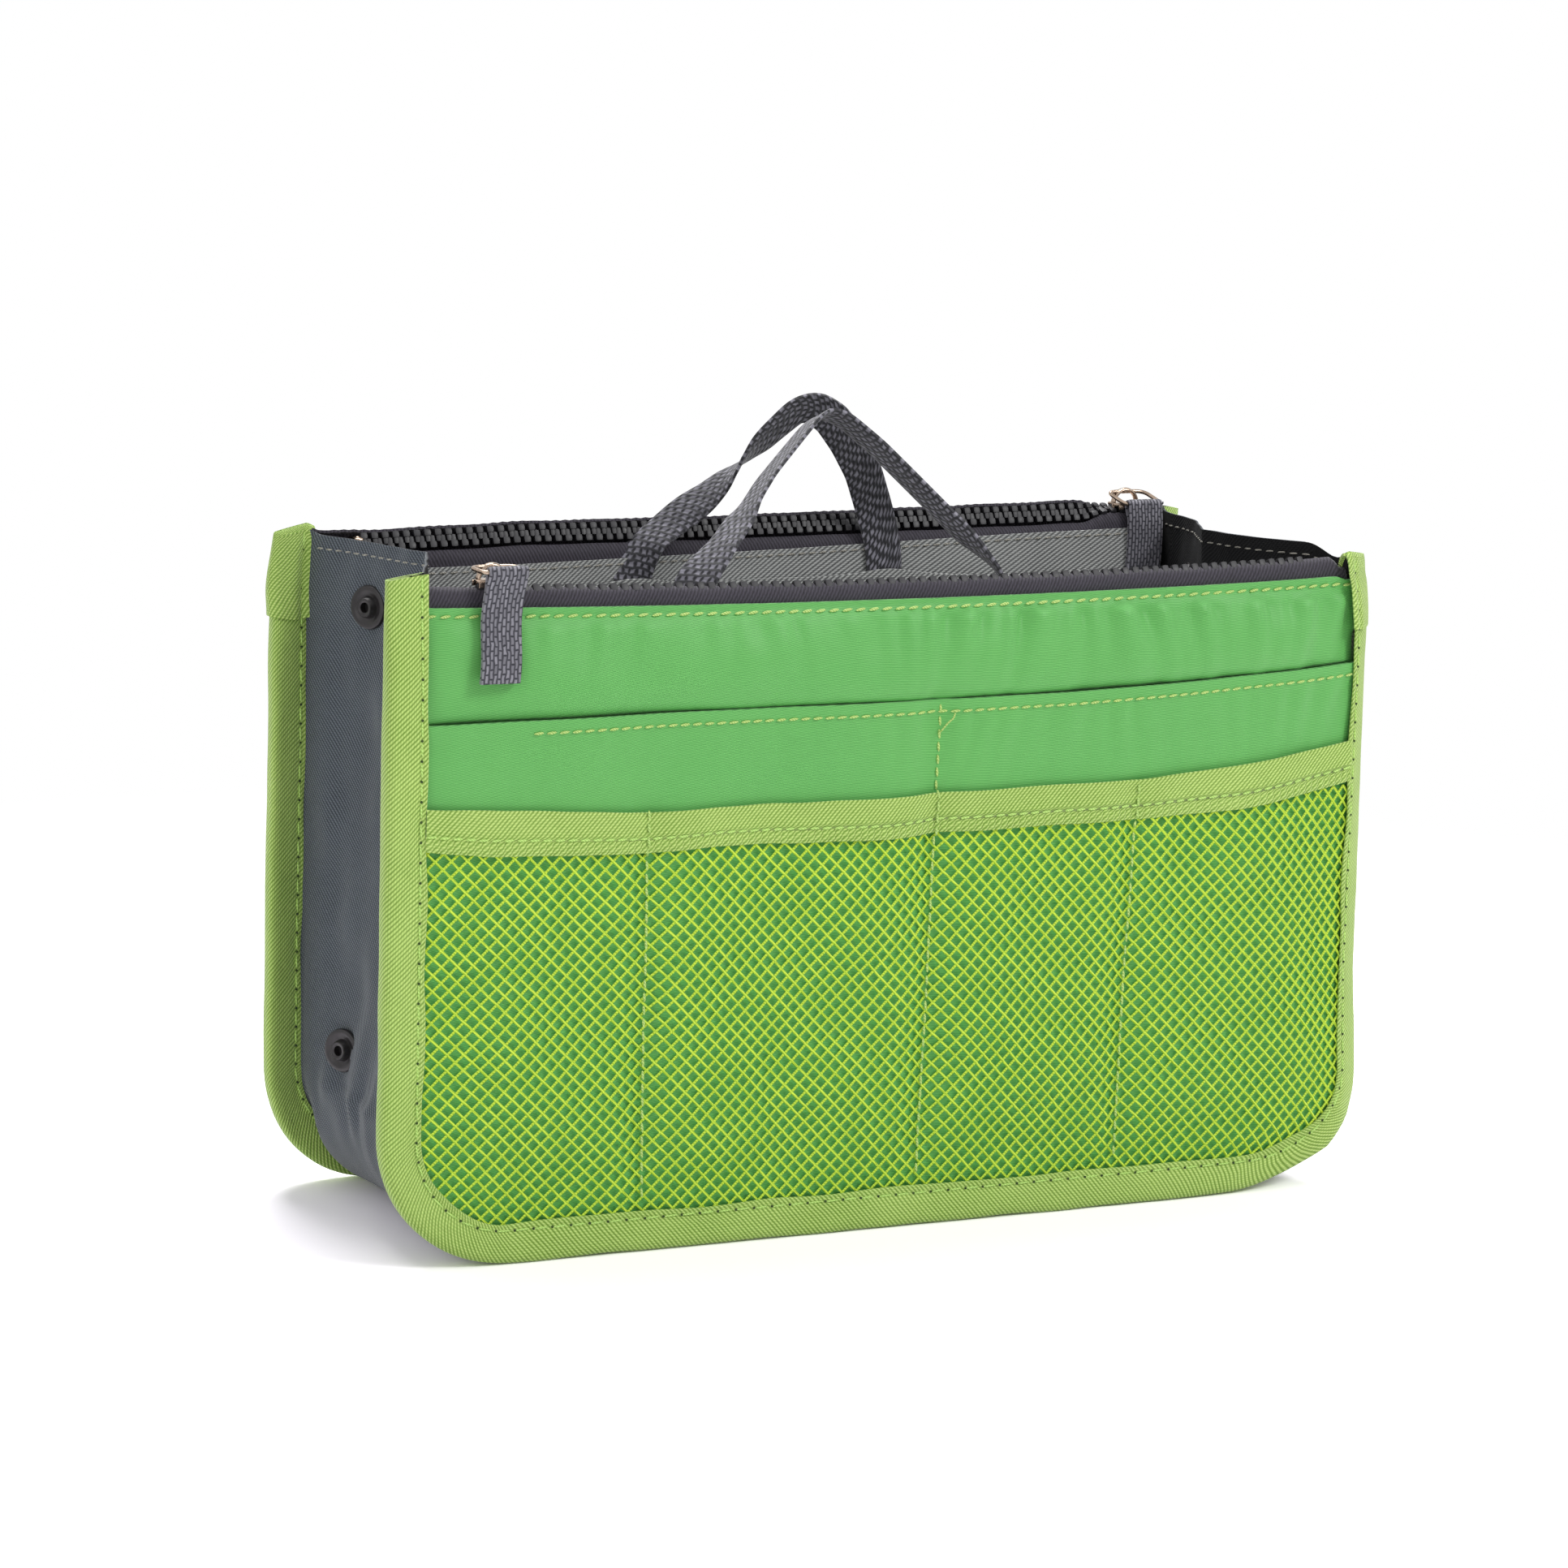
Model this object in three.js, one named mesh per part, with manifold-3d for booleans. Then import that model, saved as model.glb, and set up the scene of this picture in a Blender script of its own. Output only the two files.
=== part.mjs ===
// A soft organizer for cosmetics: two flat zipped pouches, joined along their sides and bottom by one
// gusset that folds inwards, with an open compartment between them and a webbing handle on each.
// Millimetres. X runs along the bag, Y from front to back and Z up from the table.
// A depth is a distance from the bag's middle plane, so the front pouch lies at Y = -depth.
import * as THREE from "three";
import { mergeVertices } from "three/addons/utils/BufferGeometryUtils.js";
import Module from "manifold-3d";

const wasm = await Module();
wasm.setup();

// Overall sizes
const bagLength = 285.8;
const bagDepth = 96.6;
const bagHeight = 180;
const cornerRadius = 35;
const cornerSteps = 8;

// Cloth, binding and gaps
const cloth = 0.6;
const clearance = 0.3;
const bindingThickness = 0.8;
const bindingWidth = 10.7;
const seamTuck = 1.1;

// Outer pockets
const panelDrop = 7.5;
const frontPanelSink = 2;
const slipPocketTop = 145;
const netTop = 116;
const netBandWidth = 11;
const netGapWidth = 20;
const netGapHeight = 19;
const netStrand = 1.1;
const netHem = 2.5;

// Padding, inner wall and inner pocket
const paddingThickness = 2;
const paddingMargin = 16;
const zipPocketDepth = 7.9;
const wallDrop = 10;
const wallSlopeWidth = 7;
const innerPocketDrop = 15;
const innerPocketMargin = 38;

// Zip
const tapeFootDrop = 16;
const tapeShoulderDrop = 3;
const tapeMargin = 19;
const frontMouthSink = 4.5;
const chainDrop = 0.7;
const toothHeight = 2.2;
const toothReach = 2.2;
const rowGap = 1;
const chainMargin = 24.4;
const stopLength = 2.5;
const stopOverhang = 0.1;

// Slider, ring and pull tab
const sliderLength = 9;
const sliderPlate = 0.8;
const sliderTopWidth = 5.2;
const sliderFootWidth = 3.4;
const sliderWebLength = 6;
const sliderWebThickness = 0.4;
const sliderParking = 1;
const crownWidth = 2.4;
const crownWall = 0.7;
const ringHeight = 3.4;
const wireRadius = 0.6;
const ringCorner = 1.5;
const ringCornerSteps = 3;
const wireSides = 6;
const webbingThickness = 1.2;
const pullWebbingWidth = 10.5;
const pullFold = 0.7;
const frontRingReach = 7.2;
const frontRingDrop = 5.4;
const rearRingReach = 4.6;
const rearRingDrop = 3.4;
const rearPullInset = 1.3;
const frontPullDrop = 27;
const rearPullDrop = 25;

// Handles
const handleWebbingWidth = 10.5;
const handleTailDrop = 14;
const handlePivotLift = 0.85;
const handleRoot = 0.6;
const frontHandleHalfSpan = 46.5;
const rearHandleHalfSpan = 34;
const handleShift = 8.3;
const frontHandleHeight = 42;
const rearHandleHeight = 36.5;
const frontHandleLean = 29;
const rearHandleLean = 26;
const handleTwistEnd = 0.3;
const handleSteps = 36;

// Gusset and snaps
const foldDepth = 16;
const bottomSpan = 68;
const gussetSideSteps = 6;
const gussetBottomSteps = 5;
const snapOffset = 19.5;
const upperSnapDrop = 17;
const lowerSnapHeight = 43;
const snapRadius = 5.5;
const snapCapRadius = 5;
const snapBarrelRadius = 2.1;
const snapHoleGap = 0.4;
const snapDisc = 0.8;
const snapDome = 0.5;
const studHeight = 2.6;
const studRadius = 2.6;
const studBore = 1.5;
const socketRim = 1.8;
const socketMouth = 3;
const snapSides = 12;

// Heights above the table of what is placed from the bag's top edge
const panelTop = bagHeight - panelDrop;
const wallTop = bagHeight - wallDrop;
const innerPocketTop = bagHeight - innerPocketDrop;
const tapeFoot = bagHeight - tapeFootDrop;
const tapeShoulder = bagHeight - tapeShoulderDrop;
const chainBase = bagHeight - chainDrop;
const frontPullEnd = bagHeight - frontPullDrop;
const rearPullEnd = bagHeight - rearPullDrop;
const handleTailFoot = bagHeight - handleTailDrop;
const handlePivotHeight = bagHeight + handlePivotLift;
const upperSnapHeight = bagHeight - upperSnapDrop;

// Layers under the binding, from the outside in, as the depth of each layer's middle
const half = bagLength / 2;
const layerStep = cloth + clearance;
const netDepth = bagDepth / 2 - bindingThickness - clearance - cloth / 2;
const slipDepth = netDepth - layerStep;
const panelDepth = slipDepth - layerStep;
const wallRimDepth = panelDepth - layerStep;
const gussetRimDepth = wallRimDepth - layerStep;
const bindingInnerDepth = gussetRimDepth - cloth / 2 - clearance - bindingThickness;
const seamInset = bindingWidth + clearance + cloth / 2;
const wallDepth = wallRimDepth - zipPocketDepth;

// Zip places
const innerTapeDepth = wallDepth + layerStep;
const outerTapeDepth = wallRimDepth;
const chainDepth = (innerTapeDepth + outerTapeDepth) / 2;
const chainHalf = half - chainMargin;
const chainTop = chainBase + toothHeight;
const sliderTop = chainTop + clearance + sliderPlate;
const sliderRest = chainHalf - sliderLength / 2 - sliderParking;
const ringPivotHeight = sliderTop + ringHeight;
const holeRadius = wireRadius + clearance;

// Handle places
const handleDepth = wallDepth - cloth / 2 - clearance - webbingThickness / 2;
const tailTop = handlePivotHeight - handleRoot;

// Finishes
const limeTwill = new THREE.MeshStandardMaterial({ color: 0xa5cd5f, roughness: 0.85 });
const greenNylon = new THREE.MeshStandardMaterial({ color: 0x64be5f, roughness: 0.55 });
const limeNet = new THREE.MeshStandardMaterial({ color: 0xbee146, roughness: 0.6 });
const greyTwill = new THREE.MeshStandardMaterial({ color: 0x4b525c, roughness: 0.85 });
const greyLining = new THREE.MeshStandardMaterial({ color: 0x696e69, roughness: 0.85 });
const whiteFoam = new THREE.MeshStandardMaterial({ color: 0xe6e6e0, roughness: 0.95 });
const charcoalTape = new THREE.MeshStandardMaterial({ color: 0x3e3c44, roughness: 0.85 });
const charcoalWebbing = new THREE.MeshStandardMaterial({ color: 0x4b4b55, roughness: 0.8 });
const blackNylon = new THREE.MeshStandardMaterial({ color: 0x2d2c33, roughness: 0.4 });
const zipMetal = new THREE.MeshStandardMaterial({ color: 0x9a8f86, roughness: 0.3, metalness: 1 });
const snapMetal = new THREE.MeshStandardMaterial({ color: 0x2d2a2a, roughness: 0.4, metalness: 0.8 });

function named(name, geometry, material) {
  const mesh = new THREE.Mesh(geometry, material);
  mesh.name = name;
  return mesh;
}

// A geometry from points and triangles, turned so that its faces point outwards.
function geometryOf(points, triangles) {
  const volume = triangles.reduce((sum, [a, b, c]) => {
    return sum + points[a].dot(new THREE.Vector3().crossVectors(points[b], points[c]));
  }, 0);
  const facing = volume < 0 ? triangles.map(([a, b, c]) => [a, c, b]) : triangles;
  const geometry = new THREE.BufferGeometry().setFromPoints(points);
  geometry.setIndex(facing.flat());
  geometry.computeVertexNormals();
  return geometry;
}

// A closed skin over rings of points. Caps close its ends, and without them the last ring meets the first.
function skin(rings, caps) {
  const count = rings[0].length;
  const triangles = [];
  const spans = caps ? rings.length - 1 : rings.length;
  for (let i = 0; i < spans; i++) {
    const here = i * count;
    const there = ((i + 1) % rings.length) * count;
    for (let j = 0; j < count; j++) {
      const next = (j + 1) % count;
      triangles.push([here + j, here + next, there + next], [here + j, there + next, there + j]);
    }
  }
  const end = (rings.length - 1) * count;
  for (const [a, b, c] of caps ?? []) {
    triangles.push([c, b, a], [end + a, end + b, end + c]);
  }
  return geometryOf(rings.flat(), triangles);
}

// Triangles that fill a flat outline, wound the way the outline runs.
function fill(outline) {
  const turn = Math.sign(THREE.ShapeUtils.area(outline));
  return THREE.ShapeUtils.triangulateShape(outline, []).map(([a, b, c]) => {
    const sameTurn = Math.sign(THREE.ShapeUtils.area([outline[a], outline[b], outline[c]])) === turn;
    return sameTurn ? [a, b, c] : [a, c, b];
  });
}

// A sheet of one thickness about a grid of points.
function sheet(rows, thickness) {
  const last = rows[0].length - 1;
  const rings = rows.map((row, i) => {
    const before = rows[Math.max(i - 1, 0)];
    const after = rows[Math.min(i + 1, rows.length - 1)];
    const offsets = row.map((_, j) => {
      const along = new THREE.Vector3().subVectors(after[j], before[j]);
      const across = new THREE.Vector3().subVectors(row[Math.min(j + 1, last)], row[Math.max(j - 1, 0)]);
      return along.cross(across).setLength(thickness / 2);
    });
    const upper = row.map((point, j) => point.clone().add(offsets[j]));
    const lower = row.map((point, j) => point.clone().sub(offsets[j]));
    return [...upper, ...lower.reverse()];
  });
  const caps = [];
  for (let j = 0; j < last; j++) {
    const below = 2 * last + 1 - j;
    caps.push([j, j + 1, below - 1], [j, below - 1, below]);
  }
  return skin(rings, caps);
}

function solid(geometry) {
  const bare = geometry.clone();
  bare.deleteAttribute("normal");
  bare.deleteAttribute("uv");
  const merged = mergeVertices(bare);
  const vertProperties = new Float32Array(merged.attributes.position.array);
  const triVerts = new Uint32Array(merged.index.array);
  return new wasm.Manifold(new wasm.Mesh({ numProp: 3, vertProperties, triVerts }));
}

function geometryFrom(manifold) {
  const mesh = manifold.getMesh();
  const geometry = new THREE.BufferGeometry();
  geometry.setAttribute("position", new THREE.BufferAttribute(mesh.vertProperties, 3));
  geometry.setIndex(new THREE.BufferAttribute(mesh.triVerts, 1));
  geometry.computeVertexNormals();
  return geometry;
}

function smooth(value) {
  const t = Math.min(Math.max(value, 0), 1);
  return t * t * (3 - 2 * t);
}

// A flat plate whose outline is drawn in X and Z, from its inner face outwards.
function plate(shape, middleDepth, thickness) {
  const options = { depth: thickness, bevelEnabled: false, curveSegments: cornerSteps };
  const geometry = new THREE.ExtrudeGeometry(shape, options);
  return geometry.translate(0, 0, middleDepth - thickness / 2).rotateX(Math.PI / 2);
}

// A bar along X whose section is drawn as depth and height.
function barAlongX(shape, middleX, length) {
  const options = { depth: length, bevelEnabled: false, curveSegments: wireSides };
  const geometry = new THREE.ExtrudeGeometry(shape, options);
  const axes = new THREE.Matrix4().makeBasis(
    new THREE.Vector3(0, -1, 0),
    new THREE.Vector3(0, 0, 1),
    new THREE.Vector3(-1, 0, 0),
  );
  return geometry.translate(0, 0, -length / 2).applyMatrix4(axes).translate(middleX, 0, 0);
}

function block(sizeX, depthFrom, depthTo, heightFrom, heightTo, middleX) {
  const geometry = new THREE.BoxGeometry(sizeX, depthTo - depthFrom, heightTo - heightFrom);
  return geometry.translate(middleX, -(depthFrom + depthTo) / 2, (heightFrom + heightTo) / 2);
}

// The pouch outline, a number of millimetres inside the outer edge.
function pouchShape(inset, top) {
  const side = half - inset;
  const corner = cornerRadius - inset;
  const shape = new THREE.Shape();
  shape.moveTo(-side, top);
  shape.lineTo(-side, cornerRadius);
  shape.absarc(cornerRadius - half, cornerRadius, corner, Math.PI, 1.5 * Math.PI);
  shape.lineTo(half - cornerRadius, inset);
  shape.absarc(half - cornerRadius, cornerRadius, corner, 1.5 * Math.PI, 2 * Math.PI);
  shape.lineTo(side, top);
  shape.closePath();
  return shape;
}

// Stations down the left side, along the bottom and up the right side of the outer edge. Each has its point,
// its inward direction and how far it has turned from side, 0, to bottom, 1.
function edgeStations(top, sideSteps, bottomSteps) {
  const stations = [];
  const add = (x, z, angle, turned) => {
    const inward = new THREE.Vector3(-Math.cos(angle), 0, -Math.sin(angle));
    stations.push({ point: new THREE.Vector3(x, 0, z), inward, turned });
  };
  for (let i = 0; i < sideSteps; i++) {
    add(-half, top + ((cornerRadius - top) * i) / sideSteps, Math.PI, 0);
  }
  for (let i = 0; i < cornerSteps; i++) {
    const angle = Math.PI * (1 + (0.5 * i) / cornerSteps);
    const x = cornerRadius - half + cornerRadius * Math.cos(angle);
    add(x, cornerRadius + cornerRadius * Math.sin(angle), angle, i / cornerSteps);
  }
  for (let i = 0; i <= bottomSteps; i++) {
    add((half - cornerRadius) * ((2 * i) / bottomSteps - 1), 0, 1.5 * Math.PI, 1);
  }
  for (let i = 1; i <= cornerSteps; i++) {
    const angle = Math.PI * (1.5 + (0.5 * i) / cornerSteps);
    const x = half - cornerRadius + cornerRadius * Math.cos(angle);
    add(x, cornerRadius + cornerRadius * Math.sin(angle), angle, 1 - i / cornerSteps);
  }
  for (let i = 1; i <= sideSteps; i++) {
    add(half, cornerRadius + ((top - cornerRadius) * i) / sideSteps, 0, 0);
  }
  return stations;
}

// How far a point of the pouch lies inside the outer edge.
function insetOf(x, z) {
  const beside = half - Math.abs(x);
  if (beside > cornerRadius || z > cornerRadius) return Math.min(beside, z);
  return cornerRadius - Math.hypot(cornerRadius - beside, cornerRadius - z);
}

function pouchPoint(station, inset, depth) {
  const point = station.point.clone().addScaledVector(station.inward, inset);
  point.y = -depth;
  return point;
}

// Binding: one tape folded over the layers' edge all the way round, down one side and up the other.
function bindingGeometry() {
  const outer = bagDepth / 2;
  const section = [
    [0, bindingInnerDepth],
    [bindingWidth, bindingInnerDepth],
    [bindingWidth, bindingInnerDepth + bindingThickness],
    [bindingThickness, bindingInnerDepth + bindingThickness],
    [bindingThickness, outer - bindingThickness],
    [bindingWidth, outer - bindingThickness],
    [bindingWidth, outer],
    [0, outer],
  ];
  const rings = edgeStations(bagHeight, 1, 1).map((station) => {
    return section.map(([inset, depth]) => pouchPoint(station, inset, depth));
  });
  return skin(rings, fill(section.map(([inset, depth]) => new THREE.Vector2(inset, depth))));
}

// Inner wall: flat over the zipped pocket, and sloping out to its sewn rim.
function innerWallGeometry() {
  const slopeStart = seamInset + clearance;
  const slopeEnd = slopeStart + wallSlopeWidth;
  const profile = [
    [seamTuck, 0],
    [slopeStart, 0],
    [slopeStart + wallSlopeWidth / 3, smooth(1 / 3)],
    [slopeEnd - wallSlopeWidth / 3, smooth(2 / 3)],
    [slopeEnd, 1],
    [slopeEnd + cloth, 1],
    [slopeEnd + 2 * cloth, 1],
  ];
  const rows = edgeStations(wallTop, 1, 1).map((station) => {
    return profile.map(([inset, drop]) => pouchPoint(station, inset, wallRimDepth - drop * zipPocketDepth));
  });
  const middle = plate(pouchShape(slopeEnd + cloth, wallTop), wallDepth, cloth);
  return geometryFrom(solid(sheet(rows, cloth)).add(solid(middle)));
}

// Net pocket: a diamond net with a plain hem that runs under the binding and the band.
function netGeometry() {
  const shape = pouchShape(seamTuck, netTop);
  const reachX = netGapWidth / 2 - netStrand;
  const reachZ = netGapHeight / 2 - netStrand;
  const highest = netTop - netBandWidth / 2 - netHem;
  const rowsOfGaps = Math.floor((2 * highest) / netGapHeight);
  const columns = Math.ceil(half / netGapWidth);
  for (let row = 1; row <= rowsOfGaps; row++) {
    const z = highest - (row * netGapHeight) / 2;
    for (let column = -columns; column <= columns; column++) {
      const x = (column + (row % 2) / 2) * netGapWidth;
      const corners = [
        [x - reachX, z],
        [x, z - reachZ],
        [x + reachX, z],
        [x, z + reachZ],
      ];
      if (corners.every(([a, b]) => insetOf(a, b) > bindingWidth + netHem)) {
        shape.holes.push(new THREE.Path(corners.map(([a, b]) => new THREE.Vector2(a, b))));
      }
    }
  }
  return plate(shape, netDepth, cloth);
}

function rectangle(halfWidth, bottom, top) {
  return new THREE.Shape([
    new THREE.Vector2(-halfWidth, bottom),
    new THREE.Vector2(halfWidth, bottom),
    new THREE.Vector2(halfWidth, top),
    new THREE.Vector2(-halfWidth, top),
  ]);
}

// Zip tape: it stands against its panel and leans towards the teeth at the top.
function tapeGeometry(footDepth, topDepth) {
  const top = chainBase - clearance;
  const edge = (offset) => [
    new THREE.Vector2(footDepth + offset, tapeFoot),
    new THREE.Vector2(footDepth + offset, tapeShoulder),
    new THREE.Vector2(topDepth + offset, top),
  ];
  const shape = new THREE.Shape([...edge(cloth / 2), ...edge(-cloth / 2).reverse()]);
  return barAlongX(shape, 0, 2 * (half - tapeMargin));
}

function zipPieces(side) {
  const rowMiddle = rowGap / 2 + toothReach;
  const lean = rowMiddle - cloth / 2;
  const row = (from, to) => block(2 * chainHalf, from, to, chainBase, chainTop, 0);
  const stopWidth = rowMiddle + stopOverhang;
  const stopPlace = chainHalf + clearance + stopLength / 2;
  const stopDepths = [chainDepth - stopWidth, chainDepth + stopWidth];
  const stop = (x) => block(stopLength, ...stopDepths, chainBase, chainTop, x);
  return [
    named(`${side}_outer_zip_tape`, tapeGeometry(outerTapeDepth, chainDepth + lean), charcoalTape),
    named(`${side}_inner_zip_tape`, tapeGeometry(innerTapeDepth, chainDepth - lean), charcoalTape),
    named(`${side}_outer_teeth`, row(chainDepth + rowGap / 2, chainDepth + rowMiddle), blackNylon),
    named(`${side}_inner_teeth`, row(chainDepth - rowMiddle, chainDepth - rowGap / 2), blackNylon),
    named(`${side}_closed_end_stop`, stop(-stopPlace), zipMetal),
    named(`${side}_open_end_stop`, stop(stopPlace), zipMetal),
  ];
}

// Slider: two plates joined by a thin web between the rows of teeth, with a crown that holds the ring.
function sliderGeometry() {
  const footTop = chainBase - clearance;
  const across = (width) => [chainDepth - width / 2, chainDepth + width / 2];
  const top = block(sliderLength, ...across(sliderTopWidth), sliderTop - sliderPlate, sliderTop, -sliderRest);
  const foot = block(sliderLength, ...across(sliderFootWidth), footTop - sliderPlate, footTop, -sliderRest);
  const web = block(
    sliderWebLength,
    ...across(sliderWebThickness),
    footTop - sliderPlate / 2,
    sliderTop - sliderPlate / 2,
    -sliderRest,
  );
  const radius = holeRadius + crownWall;
  const crown = new THREE.Shape();
  crown.moveTo(chainDepth - radius, sliderTop - sliderPlate / 2);
  crown.lineTo(chainDepth + radius, sliderTop - sliderPlate / 2);
  crown.lineTo(chainDepth + radius, ringPivotHeight);
  crown.absarc(chainDepth, ringPivotHeight, radius, 0, Math.PI);
  crown.closePath();
  crown.holes.push(new THREE.Path().absarc(chainDepth, ringPivotHeight, holeRadius, 0, 2 * Math.PI));
  const lug = barAlongX(crown, -sliderRest, crownWidth);
  return geometryFrom([foot, web, lug].reduce((body, piece) => body.add(solid(piece)), solid(top)));
}

// Ring: a loop of wire through the crown, reaching out and down to the bar that the pull tab hangs on.
function ringGeometry(reach, drop) {
  const length = Math.hypot(reach, drop);
  const outward = new THREE.Vector3(0, -reach / length, -drop / length);
  const along = new THREE.Vector3(1, 0, 0);
  const flat = new THREE.Vector3().crossVectors(along, outward);
  const middle = new THREE.Vector3(-sliderRest, -chainDepth, ringPivotHeight);
  middle.addScaledVector(outward, length / 2);
  const halfWidth = pullWebbingWidth / 2 + clearance + wireRadius;
  const rings = [];
  for (let i = 0; i < 4; i++) {
    const signX = i === 0 || i === 3 ? 1 : -1;
    const signOut = i < 2 ? 1 : -1;
    for (let j = 0; j <= ringCornerSteps; j++) {
      const angle = (Math.PI / 2) * (i + j / ringCornerSteps);
      const facing = along.clone().multiplyScalar(Math.cos(angle)).addScaledVector(outward, Math.sin(angle));
      const centre = middle.clone();
      centre.addScaledVector(along, signX * (halfWidth - ringCorner));
      centre.addScaledVector(outward, signOut * (length / 2 - ringCorner));
      centre.addScaledVector(facing, ringCorner);
      rings.push(circleOfPoints(centre, facing, flat, wireRadius, wireSides));
    }
  }
  return skin(rings, null);
}

function circleOfPoints(centre, axisA, axisB, radius, sides) {
  return Array.from({ length: sides }, (_, k) => {
    const angle = (2 * Math.PI * k) / sides;
    const point = centre.clone().addScaledVector(axisA, radius * Math.cos(angle));
    return point.addScaledVector(axisB, radius * Math.sin(angle));
  });
}

// Pull tab: webbing folded round the ring's far bar, its two layers sewn flat together below.
function pullTabGeometry(barDepth, barHeight, strapDepth, end) {
  const strap = webbingThickness * pullFold;
  const bend = holeRadius + strap;
  const start = Math.asin(strap / bend);
  const tangent = barHeight - bend * Math.cos(start);
  const below = tangent - 2 * bend;
  const shape = new THREE.Shape();
  shape.moveTo(strapDepth + strap, end);
  shape.lineTo(strapDepth + strap, below);
  shape.lineTo(barDepth + strap, tangent);
  shape.absarc(barDepth, barHeight, bend, start - Math.PI / 2, 1.5 * Math.PI - start);
  shape.lineTo(strapDepth - strap, below);
  shape.lineTo(strapDepth - strap, end);
  shape.closePath();
  shape.holes.push(new THREE.Path().absarc(barDepth, barHeight, holeRadius, 0, 2 * Math.PI));
  return barAlongX(shape, -sliderRest, pullWebbingWidth);
}

function pullPieces(side, reach, drop, strapInset, end) {
  const facing = side === "front" ? 1 : -1;
  const barDepth = chainDepth + facing * reach;
  const barHeight = ringPivotHeight - drop;
  const tab = pullTabGeometry(barDepth, barHeight, barDepth - strapInset, end);
  return [
    named(`${side}_slider`, sliderGeometry(), zipMetal),
    named(`${side}_pull_ring`, ringGeometry(facing * reach, drop), zipMetal),
    named(`${side}_pull_tab`, tab, charcoalWebbing),
  ];
}

// The whole zip with its slider and pull, let down by as much as the pouch's mouth sags.
function mouthPieces(side, sink, pulls) {
  const mouth = new THREE.Group();
  mouth.position.z = -sink;
  mouth.add(...zipPieces(side), ...pulls);
  return mouth;
}

// Half of the handle's loop as shares of its half span and its rise, from the sewn foot to the crown.
const handleRoute = [
  [1, 0],
  [0.985, 0.09],
  [0.85, 0.3],
  [0.52, 0.63],
  [0.22, 0.9],
  [0, 1],
];

// Handle loop: a ribbon that leaves the wall flat and turns until it lies flat over the hand at the crown.
function handleGeometry(halfSpan, rise, leanDegrees, shift) {
  const lean = THREE.MathUtils.degToRad(leanDegrees);
  const upward = new THREE.Vector3(0, Math.sin(lean), Math.cos(lean));
  const square = new THREE.Vector3(0, -Math.cos(lean), Math.sin(lean));
  const level = new THREE.Vector3(0, -1, 0);
  const foot = new THREE.Vector3(shift, -handleDepth, handlePivotHeight);
  const place = ([across, up], sign) => {
    const point = foot.clone().addScaledVector(upward, handleRoot + up * (rise - handleRoot));
    return point.add(new THREE.Vector3(sign * across * halfSpan, 0, 0));
  };
  const left = handleRoute.map((share) => place(share, -1));
  const right = handleRoute.slice(0, -1).map((share) => place(share, 1));
  const curve = new THREE.CatmullRomCurve3([...left, ...right.reverse()], false, "centripetal");
  const section = [
    [1, 1],
    [-1, 1],
    [-1, -1],
    [1, -1],
  ];
  const rings = [];
  for (let i = 0; i <= handleSteps; i++) {
    const t = i / handleSteps;
    const atEnd = i === 0 || i === handleSteps;
    const run = atEnd ? upward.clone().multiplyScalar(i === 0 ? 1 : -1) : curve.getTangentAt(t);
    const inPlane = new THREE.Vector3().crossVectors(square, run).normalize();
    const turn = (Math.PI / 2) * smooth(Math.min(t, 1 - t) / handleTwistEnd);
    const wide = inPlane.multiplyScalar(Math.cos(turn)).addScaledVector(level, Math.sin(turn));
    wide.addScaledVector(run, -wide.dot(run)).normalize();
    const thin = new THREE.Vector3().crossVectors(run, wide);
    const ring = section.map(([a, b]) => {
      const point = curve.getPointAt(t).addScaledVector(wide, (a * handleWebbingWidth) / 2);
      return point.addScaledVector(thin, (b * webbingThickness) / 2);
    });
    rings.push(ring);
  }
  return skin(rings, fill(section.map(([a, b]) => new THREE.Vector2(a, b))));
}

function handlePieces(side, halfSpan, rise, lean, shift) {
  const tail = (x) => {
    const inner = handleDepth - webbingThickness / 2;
    return block(handleWebbingWidth, inner, inner + webbingThickness, handleTailFoot, tailTop, x);
  };
  return [
    named(`${side}_handle`, handleGeometry(halfSpan, rise, lean, shift), charcoalWebbing),
    named(`${side}_handle_first_tail`, tail(shift - halfSpan), charcoalWebbing),
    named(`${side}_handle_second_tail`, tail(shift + halfSpan), charcoalWebbing),
  ];
}

// One pouch, from its outer face to its inner one.
function pouchPieces(side, panelSink, mouthSink) {
  const bandHalf = half - bindingWidth - clearance;
  const bandDepth = netDepth + cloth / 2 + clearance + bindingThickness / 2;
  const paddingDepth = panelDepth - cloth / 2 - clearance - paddingThickness / 2;
  const bandShape = rectangle(bandHalf, netTop - netBandWidth / 2, netTop + netBandWidth / 2);
  const band = plate(bandShape, bandDepth, bindingThickness);
  const paddingShape = pouchShape(paddingMargin, tapeFoot - mouthSink - clearance);
  const padding = plate(paddingShape, paddingDepth, paddingThickness);
  const panel = plate(pouchShape(seamTuck, panelTop - panelSink), panelDepth, cloth);
  const pocketShape = rectangle(half - innerPocketMargin, innerPocketMargin, innerPocketTop);
  const pocket = plate(pocketShape, wallDepth - layerStep, cloth);
  return [
    named(`${side}_binding`, bindingGeometry(), limeTwill),
    named(`${side}_net_band`, band, limeTwill),
    named(`${side}_net_pocket`, netGeometry(), limeNet),
    named(`${side}_slip_pocket`, plate(pouchShape(seamTuck, slipPocketTop), slipDepth, cloth), greenNylon),
    named(`${side}_panel`, panel, greenNylon),
    named(`${side}_padding`, padding, whiteFoam),
    named(`${side}_inner_wall`, innerWallGeometry(), greyLining),
    named(`${side}_inner_pocket`, pocket, greyLining),
  ];
}

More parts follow.
